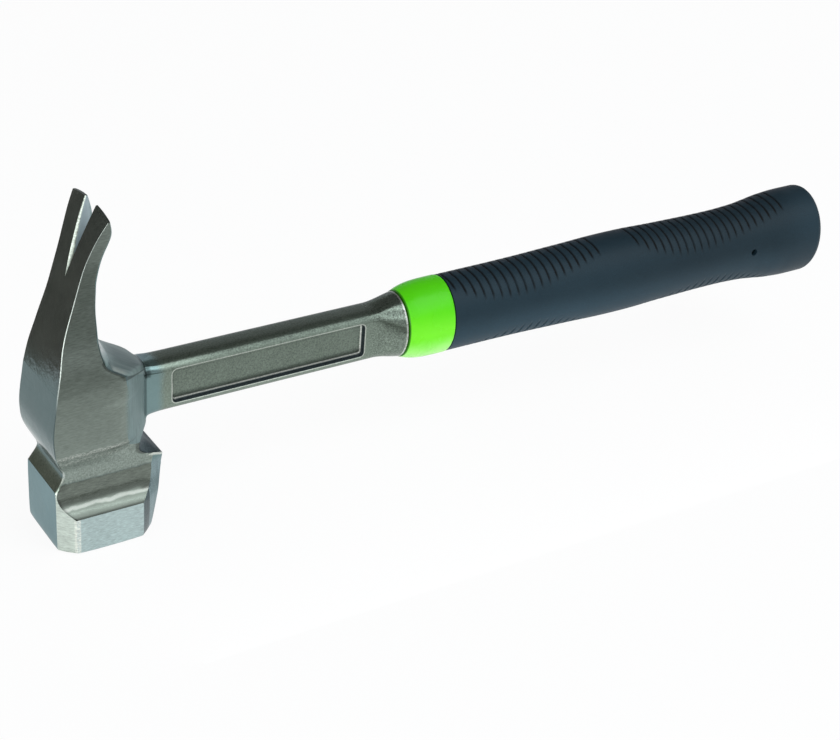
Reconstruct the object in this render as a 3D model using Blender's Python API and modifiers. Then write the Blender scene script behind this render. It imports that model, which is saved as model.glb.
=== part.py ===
"""Lineman's hammer: a one-piece steel forging with a collar and a moulded grip on its tang.

Metres, +Z up. The handle runs along +X, the striking face looks down -Z, and the origin is the
middle of that face. The hammer is the same on both sides of the XZ plane.
"""

import math

import bmesh
import bpy

MM = 0.001

# Clearance between pieces that touch
FIT_GAP = 0.3 * MM

# Poll, the square block that strikes. Heights are above the striking face.
FACE_WIDTH = 38.0 * MM
CORNER_CHAMFER = 5.6 * MM
FACE_EDGE_BREAK = 0.5 * MM
SIDE_FLAT_HEIGHT = 15.5 * MM
BACK_FLAT_HEIGHT = 25.7 * MM
HEEL_HEIGHT = 30.3 * MM
HEEL_REACH = 24.7 * MM
HEEL_HALF_WIDTH = 11.5 * MM

# Neck and cheeks, measured from the middle of the face
NECK_BACK = 15.2 * MM
NECK_HALF_WIDTH = 12.5 * MM
CHEEK_BACK = 20.3 * MM
CHEEK_HALF_WIDTH = 16.5 * MM
CHEEK_FRONT = 9.3 * MM
HEAD_FRONT = 19.4 * MM
HEAD_EDGE = 0.6 * MM

# Claw
CLAW_TIP_HEIGHT = 131.8 * MM
CLAW_TIP_CROWN = 1.9 * MM
CLAW_TIP_HALF_WIDTH = 15.2 * MM
CLAW_WAIST_HALF_WIDTH = 11.2 * MM
SLOT_LENGTH = 25.5 * MM
SLOT_HALF_GAP = 4.6 * MM
SLOT_BEVEL = 2.0 * MM
SLOT_BEVEL_FADE = 0.8

# Shaft, with a sunk panel on each side
HANDLE_AXIS_HEIGHT = 54.6 * MM
SHAFT_HEIGHT = 21.4 * MM
SHAFT_THICKNESS = 13.2 * MM
SHAFT_ROUNDING = 3.2 * MM
SHAFT_ROOT_FILLET = 1.2 * MM
PANEL_START = 31.0 * MM
PANEL_END = 114.0 * MM
PANEL_HEIGHT = 14.4 * MM
PANEL_DEPTH = 2.1 * MM
PANEL_CORNER = 2.0 * MM
PANEL_WALL_RUN = 0.5 * MM
FLARE_LENGTH = 13.0 * MM
FLARE_HALF_HEIGHT = 13.9 * MM

# Tang, hidden in the grip, with two waists that lock the core
TANG_HEIGHT = 17.0 * MM
TANG_THICKNESS = 8.0 * MM
TANG_LENGTH = 203.0 * MM
TANG_WAIST_DEPTH = 2.0 * MM
TANG_WAIST_LENGTH = 14.0 * MM

# Collar and grip. Sections are ovals, and half heights are given.
OVAL_WIDTH_SHARE = 0.81
COLLAR_START = 132.0 * MM
COLLAR_LENGTH = 20.4 * MM
COLLAR_BACK_HALF_HEIGHT = 16.6 * MM
COLLAR_FULLNESS = 4
CORE_FRONT_HALF_HEIGHT = 10.9 * MM
GRIP_LENGTH = 195.0 * MM
GRIP_FRONT_HALF_HEIGHT = 16.4 * MM
GRIP_SWELL_HALF_HEIGHT = 18.0 * MM
GRIP_WAIST_HALF_HEIGHT = 17.0 * MM
BUTT_HALF_HEIGHT = 20.1 * MM
BUTT_EDGE_RADIUS = 3.0 * MM
BUTT_DOME = 1.5 * MM
BUTT_WALL = 4.5 * MM
GRIP_WALL = 3.6 * MM

# Grooves across the grip, and the small hole in its side
GROOVE_PITCH = 3.96 * MM
GROOVE_WIDTH = 1.0 * MM
GROOVE_DEPTH = 0.5 * MM
GROOVE_SLANT = 2.2 * MM
FRONT_GROOVES = 19
REAR_GROOVES = 21
FRONT_GROUP_START = 1.0 * MM
REAR_GROUP_START = 92.8 * MM
GROOVE_SHORT_REACH = math.radians(30)
GROOVE_LONG_REACH = math.radians(66)
HOLE_DIAMETER = 3.0 * MM
HOLE_FROM_BUTT = 39.7 * MM
HOLE_RISE = 1.3 * MM

OVAL_SIDES = 24

# Outlines of the claw: its height as a share from the shaft's root to the tip, then millimetres
CLAW_BACK_LINE = ((0, -18.3), (0.12, -16.7), (0.3, -14.0), (0.5, -9.7), (0.75, -4.6), (0.92, -0.2),
                  (1, 2.5))
CLAW_FRONT_LINE = ((0.06, 14.3), (0.12, 8.3), (0.19, 3.7), (0.3, -0.1), (0.45, -0.9), (0.6, -0.4),
                   (0.77, 1.9), (0.92, 4.8), (1, 3.5))
CLAW_CHAMFER_LINE = ((0.045, 7.4), (0.075, 7.3), (0.1, 7.7), (0.14, 6.0), (0.19, 3.8), (0.3, 1.0),
                     (0.4, 0.4), (1, 0.3))
SADDLE_ARCH_CHAMFER = 3.0
SADDLE_LEVELS = 13
TINE_LEVELS = (0.12, 0.3, 0.46, 0.6, 0.72, 0.82, 0.92, 1.0)

# Sizes that follow from the driving ones
HALF_FACE = FACE_WIDTH / 2
FACE_FLAT = HALF_FACE - CORNER_CHAMFER
HALF_SHAFT = SHAFT_HEIGHT / 2
HALF_THICK = SHAFT_THICKNESS / 2
ROOT_BOTTOM = HANDLE_AXIS_HEIGHT - HALF_SHAFT - SHAFT_ROOT_FILLET
ROOT_TOP = HANDLE_AXIS_HEIGHT + HALF_SHAFT + SHAFT_ROOT_FILLET
SLOT_ROOT_HEIGHT = CLAW_TIP_HEIGHT - SLOT_LENGTH
RIM_X = COLLAR_START - FIT_GAP
GRIP_START = COLLAR_START + COLLAR_LENGTH + FIT_GAP
GRIP_END = GRIP_START + GRIP_LENGTH


def smooth(knots, at):
    """A smooth curve through the knots, level at each peak, that never overshoots them."""
    xs = [x for x, _ in knots]
    ys = [y for _, y in knots]
    if at <= xs[0]:
        return ys[0]
    if at >= xs[-1]:
        return ys[-1]
    steps = [(ys[i + 1] - ys[i]) / (xs[i + 1] - xs[i]) for i in range(len(xs) - 1)]
    slopes = [steps[0]]
    for before, after in zip(steps, steps[1:]):
        slopes.append(2 * before * after / (before + after) if before * after > 0 else 0.0)
    slopes.append(steps[-1])
    i = max(k for k in range(len(xs) - 1) if xs[k] <= at)
    width = xs[i + 1] - xs[i]
    t = (at - xs[i]) / width
    return (
        ys[i] * (1 + 2 * t) * (1 - t) ** 2
        + ys[i + 1] * (3 - 2 * t) * t**2
        + width * t * (1 - t) * (slopes[i] * (1 - t) - slopes[i + 1] * t)
    )


def mix(a, b, share):
    return a + (b - a) * share


def in_mm(line):
    return [(share, size * MM) for share, size in line]


def head_section(z, back, half_width, corner, front, front_half, back_chamfer=HEAD_EDGE):
    """Half of the head's outline at one height, from the middle of its back to that of its front."""
    return [
        (back, 0.0, z),
        (back, (half_width - back_chamfer) / 2, z),
        (back, half_width - back_chamfer, z),
        (back + back_chamfer, half_width, z),
        (mix(back + back_chamfer, corner, 0.5), half_width, z),
        (corner, half_width, z),
        (front, front_half, z),
        (front, front_half / 2, z),
        (front, 0.0, z),
    ]


def poll_sections():
    """The striking block: ground flats below, then a hollow shoulder on each side."""

    def heel(z):
        return mix(HALF_FACE, HEEL_REACH, z / HEEL_HEIGHT)

    edge = FACE_EDGE_BREAK
    sections = []
    for z, inset in ((0.0, edge), (edge, 0.0), (SIDE_FLAT_HEIGHT, 0.0)):
        size = HALF_FACE - inset
        section = head_section(z, -size, size, FACE_FLAT, heel(z) - inset, FACE_FLAT, CORNER_CHAMFER)
        sections.append(section)
    for share in (0.15, 0.32, 0.55, 1.0):
        z = mix(SIDE_FLAT_HEIGHT, BACK_FLAT_HEIGHT, share)
        left = CORNER_CHAMFER * (1 - share) ** 2.5
        half_width = FACE_FLAT + left
        chamfer = max(left, HEAD_EDGE)
        front_half = mix(FACE_FLAT, HEEL_HALF_WIDTH, share)
        corner = FACE_WIDTH - CORNER_CHAMFER - half_width
        sections.append(head_section(z, -HALF_FACE, half_width, corner, heel(z), front_half, chamfer))
    return sections


def neck_sections():
    """From the heel's rim, through the neck, to the cheeks' lower edge and the shaft's root."""

    def height(share):
        return mix(HEEL_HEIGHT, ROOT_BOTTOM, share)

    back = [(BACK_FLAT_HEIGHT, -HALF_FACE)]
    for share, fullness in ((0.16, 0.0), (0.36, 0.24), (0.78, 0.75), (1.0, 0.91), (1.4, 1.0)):
        back.append((height(share), -mix(NECK_BACK, CHEEK_BACK, fullness)))
    # Share of the height, then shares from the neck's width to the cheek's, from the cheek's front to
    # the head's, from the head's front to the heel's, and from the shaft's thickness to the heel's
    rows = (
        (0.0, 0.04, 1.05, 1.0, 1.0),
        (0.18, 0.0, 0.8, 0.5, 0.7),
        (0.36, 0.08, 0.6, 0.1, 0.2),
        (0.56, 0.36, 0.4, 0.0, 0.0),
        (0.8, 0.82, 0.0, 0.0, 0.0),
        (1.0, 1.0, 0.0, SHAFT_ROOT_FILLET / (HEEL_REACH - HEAD_FRONT), 0.0),
    )
    sections = []
    for share, width, corner, front, front_half in rows:
        z = height(share)
        sections.append(head_section(
            z,
            smooth(back, z),
            mix(NECK_HALF_WIDTH, CHEEK_HALF_WIDTH, width),
            mix(CHEEK_FRONT, HEAD_FRONT, corner),
            mix(HEAD_FRONT, HEEL_REACH, front),
            mix(HALF_THICK, HEEL_HALF_WIDTH, front_half),
        ))
    return sections


def root_heights():
    """Heights of the points down one side of the shaft's root, from the top."""
    shares = (0.78, 0.6, 0.42, 0.24, 0.0, -0.24, -0.42, -0.6, -0.78)
    return [HANDLE_AXIS_HEIGHT + HALF_SHAFT * share for share in shares]


def root_sections():
    """The head beside the shaft, where its front is the outline that the shaft grows from."""
    claw_back = in_mm(CLAW_BACK_LINE)[0][1]
    fullest = HANDLE_AXIS_HEIGHT - HALF_SHAFT / 2
    back = ((ROOT_BOTTOM, -mix(NECK_BACK, CHEEK_BACK, 0.91)), (fullest, -CHEEK_BACK), (ROOT_TOP, claw_back))
    return [
        head_section(z, smooth(back, z), claw_half_width(z), CHEEK_FRONT, HEAD_FRONT, HALF_THICK)
        for z in reversed(root_heights())
    ]


def claw_share(z):
    return (z - ROOT_TOP) / (CLAW_TIP_HEIGHT - ROOT_TOP)


def claw_half_width(z):
    waist, tip = CLAW_WAIST_HALF_WIDTH, CLAW_TIP_HALF_WIDTH
    above = ((0.0, mix(waist, CHEEK_HALF_WIDTH, 0.9)), (0.12, mix(waist, CHEEK_HALF_WIDTH, 0.75)),
             (0.3, mix(waist, CHEEK_HALF_WIDTH, 0.22)), (0.44, waist), (0.7, waist),
             (0.83, mix(waist, tip, 0.3)), (0.92, mix(waist, tip, 0.65)), (1.0, tip))
    below = mix(CHEEK_HALF_WIDTH, above[0][1], (z - ROOT_BOTTOM) / (ROOT_TOP - ROOT_BOTTOM))
    return below if z < ROOT_TOP else smooth(above, claw_share(z))


def claw_section(z):
    share = claw_share(z)
    front_line = [(0.0, HEAD_FRONT + SHAFT_ROOT_FILLET / 2)] + in_mm(CLAW_FRONT_LINE)
    chamfer_line = [(0.0, HEAD_FRONT - CHEEK_FRONT)] + in_mm(CLAW_CHAMFER_LINE)
    front, chamfer = smooth(front_line, share), smooth(chamfer_line, share)
    back, half_width = smooth(in_mm(CLAW_BACK_LINE), share), claw_half_width(z)
    edge = mix(HEAD_EDGE, HEAD_EDGE / 3, max(share, 0))
    shaft_share = (CHEEK_HALF_WIDTH - HALF_THICK) / (HEAD_FRONT - CHEEK_FRONT)
    front_half = half_width - chamfer * mix(shaft_share, 1.0, min(share / 0.12, 1.0))
    ring = head_section(z, back, half_width, front - chamfer, front, front_half, edge)
    arch = chamfer * min(share / 0.06, 1.0) * min(chamfer / (SADDLE_ARCH_CHAMFER * MM), 1.0)
    for column in (6, 7):
        x, y, _ = ring[column]
        ring[column] = (x - arch * (y / half_width) ** 2, y, z)
    return ring


def tine_section(share):
    """One tine of the split claw. The last point lies on the slot's wall, below its bevel."""
    z = mix(SLOT_ROOT_HEIGHT, CLAW_TIP_HEIGHT, share)
    ring = claw_section(z)
    back, half_width = ring[0][0], ring[4][1]
    front, front_half = ring[8][0], ring[6][1]
    mouth = SLOT_HALF_GAP * share
    first = TINE_LEVELS[0]
    wall = SLOT_HALF_GAP * 0.93 * max(share - first, 0) / (1 - first)
    ring[0] = (back, mouth, z)
    ring[1] = (back, mix(mouth, ring[2][1], 0.5), z)
    ring[7] = (front, mix(wall, front_half, 0.5), z)
    ring[8] = (front, wall, z)
    bevel = SLOT_BEVEL * (1 - SLOT_BEVEL_FADE * share)
    ring.append((mix(back, front, min(bevel / (front - back), 0.6)), wall, z))
    crown = CLAW_TIP_CROWN * share**4
    return [
        (x, y, h + crown * (1 - max(y - mouth, 0) / (half_width - mouth)) ** 0.8)
        for x, y, h in ring
    ]


def bridge(bm, lower, upper, columns=None):
    """Quads between two rows of vertices; columns names the steps along the row to fill."""
    for j in columns if columns is not None else range(len(lower) - 1):
        k = (j + 1) % len(lower)
        bm.faces.new((lower[j], upper[j], upper[k], lower[k]))


def build_head(bm):
    """Half of the head with its claw. Returns the outline on its front where the shaft starts."""
    rows = []

    def add(points):
        rows.append([bm.verts.new(point) for point in points])
        return rows[-1]

    for section in poll_sections() + neck_sections():
        add(section)
    bm.faces.new(rows[0])
    for lower, upper in zip(rows, rows[1:]):
        bridge(bm, lower, upper)
    bottom = rows[-1]
    sides = []
    for section in root_sections():
        sides.insert(0, add(section))
        bridge(bm, rows[-2], rows[-1], range(6))
    for level in range(SADDLE_LEVELS):
        share = level / (SADDLE_LEVELS - 1)
        add(claw_section(mix(ROOT_TOP, SLOT_ROOT_HEIGHT, share**1.5)))
        bridge(bm, rows[-2], rows[-1], range(6) if level == 0 else None)
        if level == 0:
            top = rows[-1]
    build_tine(bm, rows[-1])
    return top[:5:-1] + [row[6] for row in sides] + bottom[6:]


def build_tine(bm, root):
    """One half of the split claw above the slot's root, with its chisel end closed."""
    rows = [[bm.verts.new(point) for point in tine_section(share)] for share in TINE_LEVELS]
    bridge(bm, root, rows[0][:9])
    bm.faces.new((root[0], rows[0][9], rows[0][0]))
    for lower, upper in zip(rows, rows[1:]):
        bridge(bm, lower, upper, range(10))
    tip = rows[-1]
    for corners in ((0, 8, 7, 1), (1, 7, 6, 2), (2, 6, 5, 4, 3), (0, 9, 8)):
        bm.faces.new([tip[corner] for corner in corners])


def shaft_section(x):
    """Half of the shaft's outline at x, from the middle of its top, with the sunk panel in its side."""
    from_root = (x - HEAD_FRONT) / (PANEL_START - HEAD_FRONT)
    half = HALF_SHAFT + SHAFT_ROOT_FILLET * max(0, 1 - from_root) ** 3
    turn = SHAFT_ROUNDING * (1 - math.sqrt(0.5))
    panel = PANEL_HEIGHT / 2
    upper = [
        (0.0, half),
        (HALF_THICK - SHAFT_ROUNDING, half),
        (HALF_THICK - turn, half - turn),
        (HALF_THICK, half - SHAFT_ROUNDING),
        (HALF_THICK, panel),
        (HALF_THICK, panel - PANEL_WALL_RUN),
        (HALF_THICK, panel - PANEL_CORNER),
    ]
    return upper + [(HALF_THICK, 0.0)] + [(y, -z) for y, z in reversed(upper)]


def panel_point(x, y, z):
    """Sinks a point of the shaft's side that lies in the panel, and rounds the panel's corners."""
    in_x = min(x - PANEL_START, PANEL_END - x)
    in_z = PANEL_HEIGHT / 2 - abs(z)
    near, far = min(in_x, in_z), max(in_x, in_z)
    if near < -1e-9:
        return x, y, z
    if near > PANEL_WALL_RUN - 1e-9:
        y -= PANEL_DEPTH
    if far < PANEL_CORNER - 1e-9:
        turn = math.radians(45 + 22.5 * (in_x - in_z) / PANEL_WALL_RUN)
        radius = PANEL_CORNER - near
        along = PANEL_CORNER - radius * math.cos(turn)
        x = PANEL_START + along if x - PANEL_START < PANEL_END - x else PANEL_END - along
        z = math.copysign(PANEL_HEIGHT / 2 - PANEL_CORNER + radius * math.sin(turn), z)
    return x, y, z


def oval_half(half_height, sides):
    """Half of an oval, from the middle of its top down one side."""
    angles = [math.pi * j / (sides - 1) for j in range(sides)]
    return [(half_height * OVAL_WIDTH_SHARE * math.sin(a), half_height * math.cos(a)) for a in angles]


def flare_section(share):
    """From the shaft's outline to the oval rim that the collar meets."""
    start = shaft_section(RIM_X - FLARE_LENGTH)
    end = oval_half(FLARE_HALF_HEIGHT, len(start))
    ease = share * share * (3 - 2 * share) * 0.75 + share**3 * 0.25
    return [(mix(a[0], b[0], ease), mix(a[1], b[1], ease)) for a, b in zip(start, end)]


def tang_sizes(x):
    """Half height and half thickness of the tang, which narrows at its two waists."""
    half_height = TANG_HEIGHT / 2
    for share in (0.35, 0.75):
        middle = RIM_X + TANG_LENGTH * share
        if abs(x - middle) < TANG_WAIST_LENGTH / 2 + 1e-9:
            half_height -= TANG_WAIST_DEPTH
    return half_height, TANG_THICKNESS / 2


def tang_stations():
    stations = [RIM_X]
    for share in (0.35, 0.75):
        middle = RIM_X + TANG_LENGTH * share
        for side in (-1, 1):
            waist = middle + side * TANG_WAIST_LENGTH / 2
            stations += sorted((waist, waist + side * TANG_WAIST_DEPTH))
    return stations + [RIM_X + TANG_LENGTH]


def tang_half(x, points, clearance=0.0):
    """Half of the tang's outline as a rounded bar, with the same number of points as its neighbour."""
    half_height, half_thick = tang_sizes(x)
    half_height += clearance
    half_thick += clearance
    outline = []
    for j in range(points):
        angle = math.pi * j / (points - 1)
        y, z = math.sin(angle), math.cos(angle)
        stretch = (abs(y) ** 5 + abs(z) ** 5) ** (-1 / 5)
        outline.append((half_thick * y * stretch, half_height * z * stretch))
    return outline


def build_shaft(bm, root):
    """Half of the shaft, its flare and the tang, grown from the outline on the head's front."""
    stations = [(x, shaft_section(x)) for x in (
        mix(HEAD_FRONT, PANEL_START, 0.3),
        mix(HEAD_FRONT, PANEL_START, 0.62),
        PANEL_START - HEAD_EDGE,
        PANEL_START,
        PANEL_START + PANEL_WALL_RUN,
        PANEL_START + PANEL_CORNER,
        mix(PANEL_START, PANEL_END, 0.33),
        mix(PANEL_START, PANEL_END, 0.67),
        PANEL_END - PANEL_CORNER,
        PANEL_END - PANEL_WALL_RUN,
        PANEL_END,
        PANEL_END + HEAD_EDGE,
    )]
    for step in range(8):
        stations.append((RIM_X - FLARE_LENGTH * (1 - step / 7), flare_section(step / 7)))
    for x in tang_stations():
        stations.append((x, tang_half(x, len(root))))
    row = root
    for x, outline in stations:
        points = [panel_point(x, y, z) for y, z in outline]
        following = [bm.verts.new((px, py, HANDLE_AXIS_HEIGHT + pz)) for px, py, pz in points]
        bridge(bm, row, following)
        row = following
    bm.faces.new(reversed(row))


def finish_mesh(name, bm):
    mesh = bpy.data.meshes.new(name)
    bm.normal_update()
    bm.to_mesh(mesh)
    bm.free()
    return mesh


def shade(mesh, angle):
    mesh.shade_smooth()
    mesh.set_sharp_from_angle(angle=math.radians(angle))


def forged_mesh():
    bm = bmesh.new()
    build_shaft(bm, build_head(bm))
    for vert in bm.verts:
        if abs(vert.co.y) < 1e-7:
            vert.co.y = 0.0
    return finish_mesh("forged_body", bm)


def oval_angles():
    """Angles from the top, with a side and not a corner at the top and the bottom."""
    return [2 * math.pi * (j + 0.5) / OVAL_SIDES for j in range(OVAL_SIDES)]


def oval_ring(bm, x, half_height):
    """A ring of vertices across the handle."""
    ring = []
    for angle in oval_angles():
        y, z = half_height * OVAL_WIDTH_SHARE * math.sin(angle), half_height * math.cos(angle)
        ring.append(bm.verts.new((x, y, z)))
    return ring


def groove_ring(bm, x, inset=None):
    """A ring of the grip that slants back towards its sides; inset gives how far an angle is sunk."""
    ring = []
    for angle in oval_angles():
        along = x + GROOVE_SLANT * abs(math.sin(angle))
        half_height = grip_half_height(along)
        half_width = half_height * OVAL_WIDTH_SHARE
        y, z = half_width * math.sin(angle), half_height * math.cos(angle)
        if inset:
            normal_y, normal_z = math.sin(angle) / half_width, math.cos(angle) / half_height
            sunk = inset(angle) / math.hypot(normal_y, normal_z)
            y, z = y - normal_y * sunk, z - normal_z * sunk
        ring.append(bm.verts.new((along, y, z)))
    return ring


def join_rings(bm, rings):
    for near, far in zip(rings, rings[1:]):
        bridge(bm, near, far, range(OVAL_SIDES))


def grip_half_height(x):
    """Half height of the grip at x from its front, before its grooves."""
    front, swell = GRIP_FRONT_HALF_HEIGHT, GRIP_SWELL_HALF_HEIGHT
    waist, butt = GRIP_WAIST_HALF_HEIGHT, BUTT_HALF_HEIGHT
    line = ((0.0, front), (0.16, mix(front, swell, 0.12)), (0.3, mix(front, swell, 0.55)), (0.45, swell),
            (0.57, mix(waist, swell, 0.4)), (0.71, waist), (0.78, mix(waist, butt, 0.12)),
            (0.835, mix(waist, butt, 0.45)), (0.89, mix(waist, butt, 0.86)), (0.94, butt), (1.0, butt))
    return smooth(line, x / GRIP_LENGTH)


def groove_reach(place, skew):
    """How far round the grip a groove runs; place is where it is in its group, from 0 to 1."""
    return mix(GROOVE_SHORT_REACH, GROOVE_LONG_REACH, math.sin(math.pi * place**skew))


def groove_inset(place):
    """The depth of one groove round the grip: long reaches lie forward on top and to the rear below."""
    over, under = groove_reach(place, 0.72), groove_reach(place, 1.6) * 0.85
    fade = math.radians(12)

    def inset(angle):
        from_top = abs(math.remainder(angle, 2 * math.pi))
        from_bottom = math.pi - from_top
        inside = max((over - from_top) / fade, (under - from_bottom) / fade)
        return GROOVE_DEPTH * min(max(inside + 0.5, 0.0), 1.0)

    return inset


def groove_places():
    """Each groove's distance from the grip's front and its place in its group."""
    for start, count in ((FRONT_GROUP_START, FRONT_GROOVES), (REAR_GROUP_START, REAR_GROOVES)):
        for n in range(count):
            yield start + n * GROOVE_PITCH, n / (count - 1)


def sleeve_mesh():
    """The soft grip: a grooved outside, a closed butt and the space for the core."""
    bm = bmesh.new()
    butt_start = GRIP_LENGTH - BUTT_DOME - BUTT_EDGE_RADIUS
    between = mix(FRONT_GROUP_START + FRONT_GROOVES * GROOVE_PITCH, REAR_GROUP_START, 0.5)
    placed = [(x, oval_ring(bm, x, grip_half_height(x))) for x in (0.0, between, butt_start)]
    for x, place in groove_places():
        for side in (-GROOVE_WIDTH / 2, 0.0, GROOVE_WIDTH / 2):
            inset = None if side else groove_inset(place)
            placed.append((x + side, groove_ring(bm, x + side, inset)))
    rings = [ring for _, ring in sorted(placed, key=lambda pair: pair[0])]
    for turn in (30, 60, 90):
        angle = math.radians(turn)
        x = butt_start + BUTT_EDGE_RADIUS * math.sin(angle)
        rings.append(oval_ring(bm, x, BUTT_HALF_HEIGHT - BUTT_EDGE_RADIUS * (1 - math.cos(angle))))
    flat = BUTT_HALF_HEIGHT - BUTT_EDGE_RADIUS
    for share in (0.7, 0.35):
        rings.append(oval_ring(bm, GRIP_LENGTH - BUTT_DOME * share**2, flat * share))
    join_rings(bm, rings)
    bm.faces.new(reversed(rings[-1]))
    inner = [oval_ring(bm, x, radius) for x, radius in core_line(GRIP_WALL)]
    bridge(bm, inner[0], rings[0], range(OVAL_SIDES))
    join_rings(bm, inner[::-1])
    bm.faces.new(inner[-1])
    return finish_mesh("grip_sleeve", bm)


def core_line(wall):
    """Distances from the grip's front and half heights along the inside of a wall of that thickness."""
    end = GRIP_LENGTH - BUTT_WALL - (wall - GRIP_WALL)
    places = [end * step / 10 for step in range(11)]
    return [(x, min(grip_half_height(x), BUTT_HALF_HEIGHT) - wall) for x in places]


def core_mesh():
    """The hard core: a slim front under the collar, then the inside of the grip."""
    bm = bmesh.new()
    front = COLLAR_START - GRIP_START
    rings = [oval_ring(bm, x, CORE_FRONT_HALF_HEIGHT) for x in (front, FIT_GAP)]
    line = core_line(GRIP_WALL + FIT_GAP)
    line[0] = (FIT_GAP, line[0][1])
    rings += [oval_ring(bm, x, half_height) for x, half_height in line]
    join_rings(bm, rings)
    bm.faces.new(rings[0])
    bm.faces.new(reversed(rings[-1]))
    return finish_mesh("grip_core", bm)


def pocket_mesh():
    """The tang with clearance all round, as the cutter for the core."""
    bm = bmesh.new()
    half = OVAL_SIDES // 2 + 1
    stations = tang_stations()
    stations[0] -= 2 * FIT_GAP
    stations[-1] += FIT_GAP
    rings = []
    for x in stations:
        outline = tang_half(min(x, RIM_X + TANG_LENGTH), half, FIT_GAP)
        outline += [(-y, z) for y, z in outline[-2:0:-1]]
        rings.append([bm.verts.new((x - GRIP_START, y, z)) for y, z in outline])
    join_rings(bm, rings)
    bm.faces.new(rings[0])
    bm.faces.new(reversed(rings[-1]))
    return finish_mesh("tang_pocket", bm)


def collar_mesh():
    """The collar: it swells from the steel rim's size to the grip's, round the core's slim front."""
    bm = bmesh.new()
    rise = COLLAR_BACK_HALF_HEIGHT - FLARE_HALF_HEIGHT
    rings = []
    for step in range(9):
        share = step / 8
        half_height = FLARE_HALF_HEIGHT + rise * (1 - (1 - share) ** COLLAR_FULLNESS)
        rings.append(oval_ring(bm, COLLAR_LENGTH * share, half_height))
    bore = CORE_FRONT_HALF_HEIGHT + FIT_GAP
    rings += [oval_ring(bm, COLLAR_LENGTH, bore), oval_ring(bm, 0.0, bore)]
    join_rings(bm, rings + rings[:1])
    return finish_mesh("collar_ring", bm)


def material(name, colour, roughness, metallic):
    made = bpy.data.materials.new(name)
    made.use_nodes = True
    surface = made.node_tree.nodes["Principled BSDF"]
    surface.inputs["Base Color"].default_value = (*colour, 1.0)
    surface.inputs["Roughness"].default_value = roughness
    surface.inputs["Metallic"].default_value = metallic
    return made


def place(mesh, collection, parent, finish, location, sharp_angle):
    shade(mesh, sharp_angle)
    obj = bpy.data.objects.new(mesh.name, mesh)
    obj.location = location
    obj.parent = parent
    if finish:
        mesh.materials.append(finish)
    collection.objects.link(obj)
    return obj


def cutter(mesh, collection, parent, location):
    obj = place(mesh, collection, parent, None, location, 40)
    obj.hide_render = True
    obj.display_type = "WIRE"
    return obj


def cut(obj, tool):
    modifier = obj.modifiers.new(tool.name, "BOOLEAN")
    modifier.operation = "DIFFERENCE"
    modifier.object = tool


def hole_mesh():
    bm = bmesh.new()
    bmesh.ops.create_cone(
        bm, cap_ends=True, segments=12, radius1=HOLE_DIAMETER / 2, radius2=HOLE_DIAMETER / 2,
        depth=2.4 * BUTT_HALF_HEIGHT,
    )
    for vert in bm.verts:
        x, y, z = vert.co
        vert.co = (x, -z, y)
    return finish_mesh("side_hole", bm)


def main():
    for obj in list(bpy.data.objects):
        bpy.data.objects.remove(obj, do_unlink=True)
    scene = bpy.context.scene.collection
    parts = bpy.data.collections.new("lineman_hammer")
    cutters = bpy.data.collections.new("cutters")
    scene.children.link(parts)
    scene.children.link(cutters)
    frame = bpy.data.objects.new("striking_face_middle", None)
    parts.objects.link(frame)

    steel = material("forged_steel", (0.32, 0.34, 0.32), 0.32, 1.0)
    green = material("collar_plastic", (0.14, 0.72, 0.02), 0.25, 0.0)
    navy = material("grip_rubber", (0.022, 0.042, 0.056), 0.55, 0.0)
    black = material("core_plastic", (0.03, 0.03, 0.03), 0.6, 0.0)

    forging = place(forged_mesh(), parts, frame, steel, (0, 0, 0), 30)
    mirror = forging.modifiers.new("other_side", "MIRROR")
    mirror.use_axis = (False, True, False)
    mirror.merge_threshold = 1e-5

    axis = HANDLE_AXIS_HEIGHT
    place(collar_mesh(), parts, frame, green, (COLLAR_START, 0, axis), 40)
    core = place(core_mesh(), parts, frame, black, (GRIP_START, 0, axis), 40)
    sleeve = place(sleeve_mesh(), parts, frame, navy, (GRIP_START, 0, axis), 40)
    cut(core, cutter(pocket_mesh(), cutters, frame, (GRIP_START, 0, axis)))
    cut(sleeve, cutter(hole_mesh(), cutters, frame, (GRIP_END - HOLE_FROM_BUTT, 0, axis + HOLE_RISE)))


main()
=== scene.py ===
# %% [markdown]
# A lineman's hammer is one steel forging: a square poll to strike with, a split claw, and a shaft that
# runs on inside a moulded grip. This lesson dresses the measured model of it. Each step first says what
# a piece is on the real tool and how it could be made. We begin by loading the model as a fixed frame, so
# that everything made here lands in the right place without any fitting.

# %% Load the measured model
import math
from functools import partialmethod

import bmesh
import bpy
from mathutils import Matrix, Vector


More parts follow.
